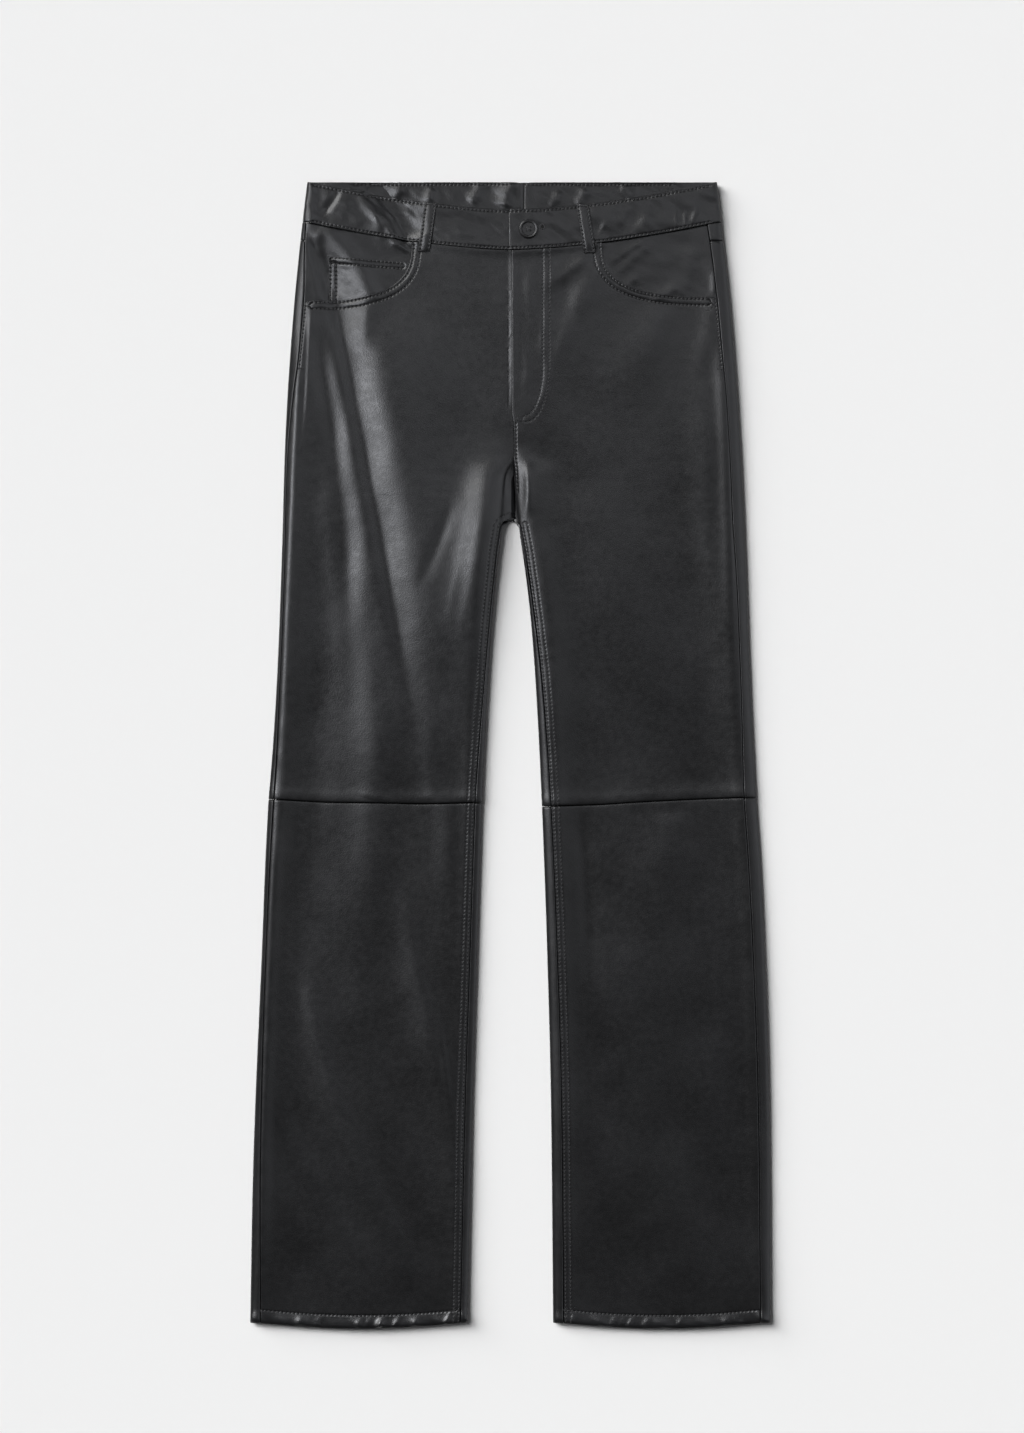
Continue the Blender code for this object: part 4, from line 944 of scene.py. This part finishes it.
def find_seams():
    """The seams that show, by name and side."""
    seams = {}
    for side in SIDES:
        for part in ("upper", "lower"):
            front, back = f"front_{part}_{side}", f"back_{part}_{side}"
            seams[f"outseam_{part}_{side}"] = seam_line(front, back, 1, outer=True)
            seams[f"inseam_{part}_{side}"] = seam_line(front, back, 1, outer=False)
        seams["knee_" + side] = seam_line("front_upper_" + side, "front_lower_" + side, 0)
        seams["waist_" + side] = seam_line("front_upper_" + side, "waistband_" + side, 0)
        inseam = seams["inseam_upper_" + side]
        seams["inseam_upper_" + side] = evened(inseam[inseam[:, 1] < FORK])
    return seams


def across_waist(start, end, below_top):
    """A line round the front of the waistband, a distance below its top edge."""
    x = np.linspace(start * MM, end * MM, 60)
    dip = WAIST_DIP * (1 - np.minimum(np.abs(x) / WAIST_HALF, 1) ** WAIST_DIP_POWER)
    return evened(np.stack([x, WAIST_BACK - dip - below_top], axis=1))


def pocket_mouth(side, inset):
    """The pocket's mouth, moved by inset into the front, from the outseam to the waistband."""
    wide = OUTSEAM_AT_POCKET[side] - MOUTH_X[side] + inset
    high = MOUTH_HIGH - MOUTH_LOW[side] + inset
    turn = np.linspace(0.03, math.pi / 2, 60)
    x = OUTSEAM_AT_POCKET[side] - wide * np.sin(turn) ** (2 / MOUTH_POWER)
    y = MOUTH_HIGH - high * np.cos(turn) ** (2 / MOUTH_POWER)
    return evened(np.stack([SIGN[side] * x, y], axis=1))


def fly_curve():
    """Middle line of the fly's double row, down from the waistband and round to the centre front."""
    x, y, wide, high = FLY_CURVE_MM
    turn = np.linspace(0, math.radians(88), 24)
    curve = np.stack([x + wide * np.cos(turn), y - high * np.sin(turn)], axis=1)
    return evened(np.concatenate([[(x + wide, FLY_TOP_MM)], curve]) * MM)


def hem_line(side):
    """The row across a hem, above its edge by the width that is turned up."""
    x = np.linspace(*HEM_SPAN_MM[side], 40) * MM * SIGN[side]
    return evened(np.stack([x, hem_level(side, x) + HEM_TURN], axis=1))


def yoke_line(side):
    """The row above the yoke's lower seam, which rises from the centre back to the outseam."""
    ends = []
    for x in YOKE_ROW_MM:
        rise = (YOKE_CENTRE - YOKE_SIDE) * (x * MM - YOKE_INNER) / YOKE_WIDTH
        ends.append((SIGN[side] * x, (BAND_FOOT - YOKE_CENTRE + rise + YOKE_ROW_INSET) / MM))
    return straight(*ends)


def plan_rows(seams):
    """Rows of stitches by the piece that they are sewn on."""
    rows = {node: [] for node in frame["nodes"]}
    high, low = BAND_INNER_LEVELS_MM
    for side in SIDES:
        sign = SIGN[side]
        band_ends = sorted((BAND_ENDS_MM[side], LAP_EDGE / MM + BAND_LAP_MM))
        rows["waistband_" + side] = [Row(across_waist(*band_ends, inset)) for inset in BAND_ROW_INSETS]
        for (start, end), level, below in zip(BAND_INNER_SPANS_MM, (high, high, low), (False, True, True)):
            line = straight((sign * start, level), (sign * end, level))
            rows["waistband_" + side].append(Row(line, below=below))
        outseam = above(seams["outseam_upper_" + side], BARTACK_LEVEL)
        rows["front_upper_" + side] = [
            Row(pocket_mouth(side, POCKET_ROW_INSET), WIDE_GAP, puff=PUFF),
            Row(shifted(outseam, sign * OUTSEAM_ROW_INSET)),
        ]
        for part in ("upper", "lower"):
            inseam = shifted(seams[f"inseam_{part}_{side}"], -sign * INSEAM_ROW_INSET)
            rows[f"front_{part}_{side}"].append(Row(inseam, INSEAM_GAP, pull=SOFT_PULL))
        rows["front_lower_" + side].append(Row(hem_line(side)))
        rows["back_lower_" + side] = [Row(hem_line(side), below=True)]
        rows["belt_loop_front_" + side] = [Row(straight(*FRONT_LOOPS_MM[side]), LOOP_GAP, puff=PUFF / 2)]
        rows["back_yoke_" + side] = [Row(yoke_line(side), WIDE_GAP, below=True)]
    rows["front_upper_left"] += [
        Row(fly_curve(), WIDE_GAP, puff=PUFF / 5, pull=SOFT_PULL),
        Row(straight(*CROTCH_ROW_MM)),
    ]
    rows["coin_pocket"] = [Row(straight(*ends), COIN_GAP, puff=PUFF / 3) for ends in COIN_ROWS_MM]
    for name, x in BACK_LOOPS_MM.items():
        line = straight(*((x, level) for level in BACK_LOOP_ENDS_MM))
        rows["belt_loop_back_" + name] = [Row(line, LOOP_GAP, below=True)]
    return rows


# Sewing


def make_stitch():
    """One stitch of thread along X: a short rod whose ends taper and dive into the leather."""
    bpy.ops.object.select_all(action="DESELECT")
    bpy.ops.mesh.primitive_cylinder_add(
        vertices=6, radius=THREAD_WIDTH / 2, depth=STITCH_LENGTH, end_fill_type="NGON"
    )
    stitch = bpy.context.object
    bpy.ops.object.mode_set(mode="EDIT")
    bpy.ops.mesh.select_all(action="SELECT")
    bpy.ops.transform.rotate(value=math.pi / 2, orient_axis="Y", center_override=(0, 0, 0))
    for share in STITCH_BENDS:
        bpy.ops.mesh.select_all(action="SELECT")
        bpy.ops.mesh.bisect(plane_co=(STITCH_LENGTH * share, 0, 0), plane_no=(1, 0, 0))
    bpy.ops.object.mode_set(mode="OBJECT")
    points = points_of(stitch)
    end = np.abs(points[:, 0]) / (STITCH_LENGTH / 2)
    taper = 1 - STITCH_TAPER * end**4
    points[:, 1] *= taper
    points[:, 2] = points[:, 2] * taper - STITCH_DIVE * end**3
    set_points(stitch, points)
    return stitch


def surface_of(piece):
    """A search tree over a piece's mesh."""
    corners = [vertex.co.copy() for vertex in piece.data.vertices]
    return BVHTree.FromPolygons(corners, [list(face.vertices) for face in piece.data.polygons])


def add_stitch(corners, polygons, stitch):
    """Adds the corners of one stitch, and its faces, to those of a piece of thread."""
    start = len(corners)
    corners += stitch
    polygons += [tuple(start + k for k in face.vertices) for face in stitch_master.data.polygons]


def add_row(corners, polygons, surface, row):
    """Adds the stitches along a row's line, or along two lines a gap to each side of it."""
    base = points_of(stitch_master)
    pitch = STITCH_PITCH
    turned = Matrix.Identity(3)
    if row.tack:
        base = base * TACK_SCALE
        pitch = TACK_PITCH
        turned = Matrix.Rotation(math.radians(TACK_TURN), 3, "Z")
    travel = np.linspace(0, length_of(row.line), len(row.line))
    at = np.arange(pitch / 2, travel[-1], pitch)
    centre, left = (
        np.stack([np.interp(at, travel, values[:, k]) for k in range(2)], axis=1)
        for values in (row.line, sideways(row.line))
    )
    direction = Vector((0, 0, 1 if row.below else -1))
    shake = np.random.RandomState(len(at) + 7)
    for offset in (-row.gap, row.gap) if row.gap else (0,):
        for place, aside in zip(centre, left):
            spot = place + aside * (offset + shake.uniform(-STITCH_SHAKE, STITCH_SHAKE))
            hit, normal, _, _ = surface.ray_cast(Vector((*spot, 0)) - direction * RAY_START, direction)
            if hit is None:
                continue
            if normal.dot(direction) > 0:
                normal = -normal
            along = Vector((aside[1], -aside[0], 0))
            along.rotate(Matrix.Rotation(shake.uniform(-STITCH_TWIST, STITCH_TWIST), 3, "Z"))
            along = (along - normal * along.dot(normal)).normalized()
            turn = Matrix((along, normal.cross(along), normal)).transposed() @ turned
            middle = hit + normal * THREAD_RISE
            add_stitch(corners, polygons, [middle + turn @ Vector(corner) for corner in base])


def make_thread(name, corners, polygons):
    mesh = bpy.data.meshes.new(name)
    mesh.from_pydata(corners, [], polygons)
    mesh.shade_smooth()
    made = bpy.data.objects.new(name, mesh)
    bpy.context.scene.collection.objects.link(made)
    dress(made, thread)


def sew(name, rows, piece):
    """One object with all the stitches of some rows on a piece."""
    surface = surface_of(piece)
    corners, polygons = [], []
    for row in rows:
        add_row(corners, polygons, surface, row)
    make_thread(name, corners, polygons)


def tack_loop(side):
    """Bartacks across both ends of a front belt loop."""
    rows = []
    for (x, y), inset in zip(FRONT_LOOPS_MM[side], LOOP_TACK_INSETS_MM):
        ends = ((x + half, y + inset) for half in (-LOOP_TACK_HALF_MM, LOOP_TACK_HALF_MM))
        rows.append(Row(straight(*ends), tack=True))
    sew("thread_loop_tacks_" + side, rows, shells["belt_loop_front_" + side])


def tack_pocket(side, outseam):
    """A bartack where the row of stitches down from the pocket ends at the outseam."""
    x, y = above(outseam, BARTACK_LEVEL)[0] / MM
    line = straight(*((x - SIGN[side] * inward, y + up) for inward, up in POCKET_TACK_MM))
    sew("thread_pocket_tack_" + side, [Row(line, tack=True)], shells["front_upper_" + side])


def cross_button():
    """Thread crossed over the sew-through button, from hole to hole."""
    base = points_of(stitch_master) * (CROSS_LENGTH / STITCH_LENGTH, 1, CROSS_THICKNESS)
    corners, polygons = [], []
    for angle, lift in ((45, 0), (-45, CROSS_LIFT)):
        turn = Matrix.Rotation(math.radians(angle), 3, "Z")
        middle = Vector((*BUTTON_CENTRE, BUTTON_FACE + lift))
        for aside in CROSS_STRANDS_MM:
            shift = Vector((0, aside * MM, 0))
            add_stitch(corners, polygons, [middle + turn @ (Vector(corner) + shift) for corner in base])
    make_thread("thread_button", corners, polygons)


def make_keyhole():
    """The round end of the buttonhole beside the button: a near-black disc of painted shade where its opening
    is, edged with close stitches.
    """
    x, y = (value * MM for value in EYELET_MM)
    turn = np.linspace(0, 2 * math.pi, 40)
    ring = np.stack([x + EYELET_RADIUS * np.cos(turn), y + EYELET_RADIUS * np.sin(turn)], axis=1)
    band = shells["waistband_left"]
    sew("thread_buttonhole", [Row(ring, tack=True)], band)
    hit = surface_of(band).ray_cast(Vector((x, y, RAY_START)), Vector((0, 0, -1)))[0]
    bpy.ops.object.select_all(action="DESELECT")
    # Painted shade: a thin near-black disc on the band stands for the shade inside the opening
    bpy.ops.mesh.primitive_cylinder_add(
        vertices=24,
        radius=EYELET_RADIUS - EYELET_RIM,
        depth=EYELET_DEPTH,
        location=(x, y, hit.z + EYELET_DEPTH / 2),
    )
    opening = bpy.context.object
    opening.name = "buttonhole_painted_shade"
    bpy.ops.object.transform_apply()
    dress(opening, moulded_material("opening_shade", (0.001, 0.001, 0.001, 1), 0.9))


# Studio


def add_lamp(name, kind, place, aim, energy, colour):
    """A lamp that looks from its place to its aim."""
    data = bpy.data.lights.new(name, kind)
    data.energy = energy
    data.color = colour
    lamp = bpy.data.objects.new(name, data)
    lamp.location = place
    lamp.rotation_euler = (Vector(aim) - Vector(place)).to_track_quat("-Z", "Y").to_euler()
    bpy.context.scene.collection.objects.link(lamp)
    return lamp


def make_studio():
    """A pale floor, far suns, near panels that show in the leather alone and a pale world."""
    bpy.ops.object.select_all(action="DESELECT")
    bpy.ops.mesh.primitive_plane_add(size=FLOOR_SIZE, location=(0, 0, -FLOOR_DROP))
    floor = bpy.context.object
    floor.name = "floor"
    paper, _, shader = new_material("floor_paper")
    feed(shader, Base_Color=FLOOR_COLOUR, Roughness=0.9, Specular_IOR_Level=0.1)
    floor.data.materials.append(paper)

    for name, azimuth, polar, width, strength, on_floor, as_gloss in SUNS:
        turn, lean = math.radians(azimuth), math.radians(polar)
        towards = Vector((math.sin(lean) * math.cos(turn), math.sin(lean) * math.sin(turn), math.cos(lean)))
        colour = FLOOR_LIGHT if on_floor else GLOSS_LIGHT
        lamp = add_lamp(name, "SUN", SUN_DISTANCE * towards, (0, 0, 0), strength, colour)
        lamp.data.angle = math.radians(width)
        lamp.visible_diffuse, lamp.visible_glossy = on_floor, as_gloss
    for name, place, size, power in PANELS:
        lamp = add_lamp(name, "AREA", place, PANEL_AIM, power, GLOSS_LIGHT)
        lamp.data.size = size
        lamp.visible_diffuse = False

    world = bpy.data.worlds.new("studio")
    world.use_nodes = True
    feed(world.node_tree.nodes["Background"], Color=WORLD_COLOUR, Strength=WORLD_STRENGTH)
    bpy.context.scene.world = world
    bpy.context.scene.view_settings.view_transform = "Standard"


def make_camera():
    """A long lens straight above, whose frame is FRAME_WIDTH wide at the leather."""
    data = bpy.data.cameras.new("camera")
    high = FRAME_WIDTH * FRAME_PIXELS[1] / FRAME_PIXELS[0]
    data.sensor_fit = "AUTO"
    data.lens = data.sensor_width * CAMERA_HEIGHT / high
    camera = bpy.data.objects.new("camera", data)
    camera.location = (VIEW_CENTRE[0], VIEW_CENTRE[1], VIEW_CENTRE[2] + CAMERA_HEIGHT)
    bpy.context.scene.collection.objects.link(camera)
    bpy.context.scene.camera = camera


for startup in list(bpy.data.objects):
    bpy.data.objects.remove(startup)
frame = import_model()

make_camera()
make_studio()
skin = leather(make_grain_group(), make_stitched_group())
thread = thread_material()
hard_finishes = {
    "button": moulded_material("black_button", (0.007, 0.007, 0.0075, 1), 0.33),
    "fly_zip": moulded_material("zip_tape", (0.012, 0.012, 0.0125, 1), 0.6),
}

seams = find_seams()
rows = plan_rows(seams)
shells = {}
for side in SIDES:
    for kind, cut in PAIRED_CUTS.items():
        node = f"{kind}_{side}"
        along = [seams[f"{line}_{side}"] for line in cut.seams]
        waist = seams["waist_" + side] if kind in ("front_upper", "pocket_facing") else None
        parting = 0
        if node == "front_upper_right":
            # Painted shadow: a dark, glossless line along the fly's edge, pressed in and shaded like a seam
            shade = LAP_EDGE / MM - FLY_SHADE_INSET_MM
            along.append(straight(*((shade, level) for level in FLY_SHADE_MM)))
            parting = PARTING_DEPTH
        shells[node] = make_leather(node, cut, rows[node], along, parting, waist)
for node, cut in SINGLE_CUTS.items():
    shells[node] = make_leather(node, cut, rows[node])
for node, finish in hard_finishes.items():
    for slot in frame["nodes"][node].material_slots:
        slot.material = finish

stitch_master = make_stitch()
for node, sewn_rows in rows.items():
    if sewn_rows:
        sew("thread_" + node, sewn_rows, shells[node])
for side in SIDES:
    tack_loop(side)
    tack_pocket(side, seams["outseam_upper_" + side])
cross_button()
make_keyhole()
bpy.data.objects.remove(stitch_master)
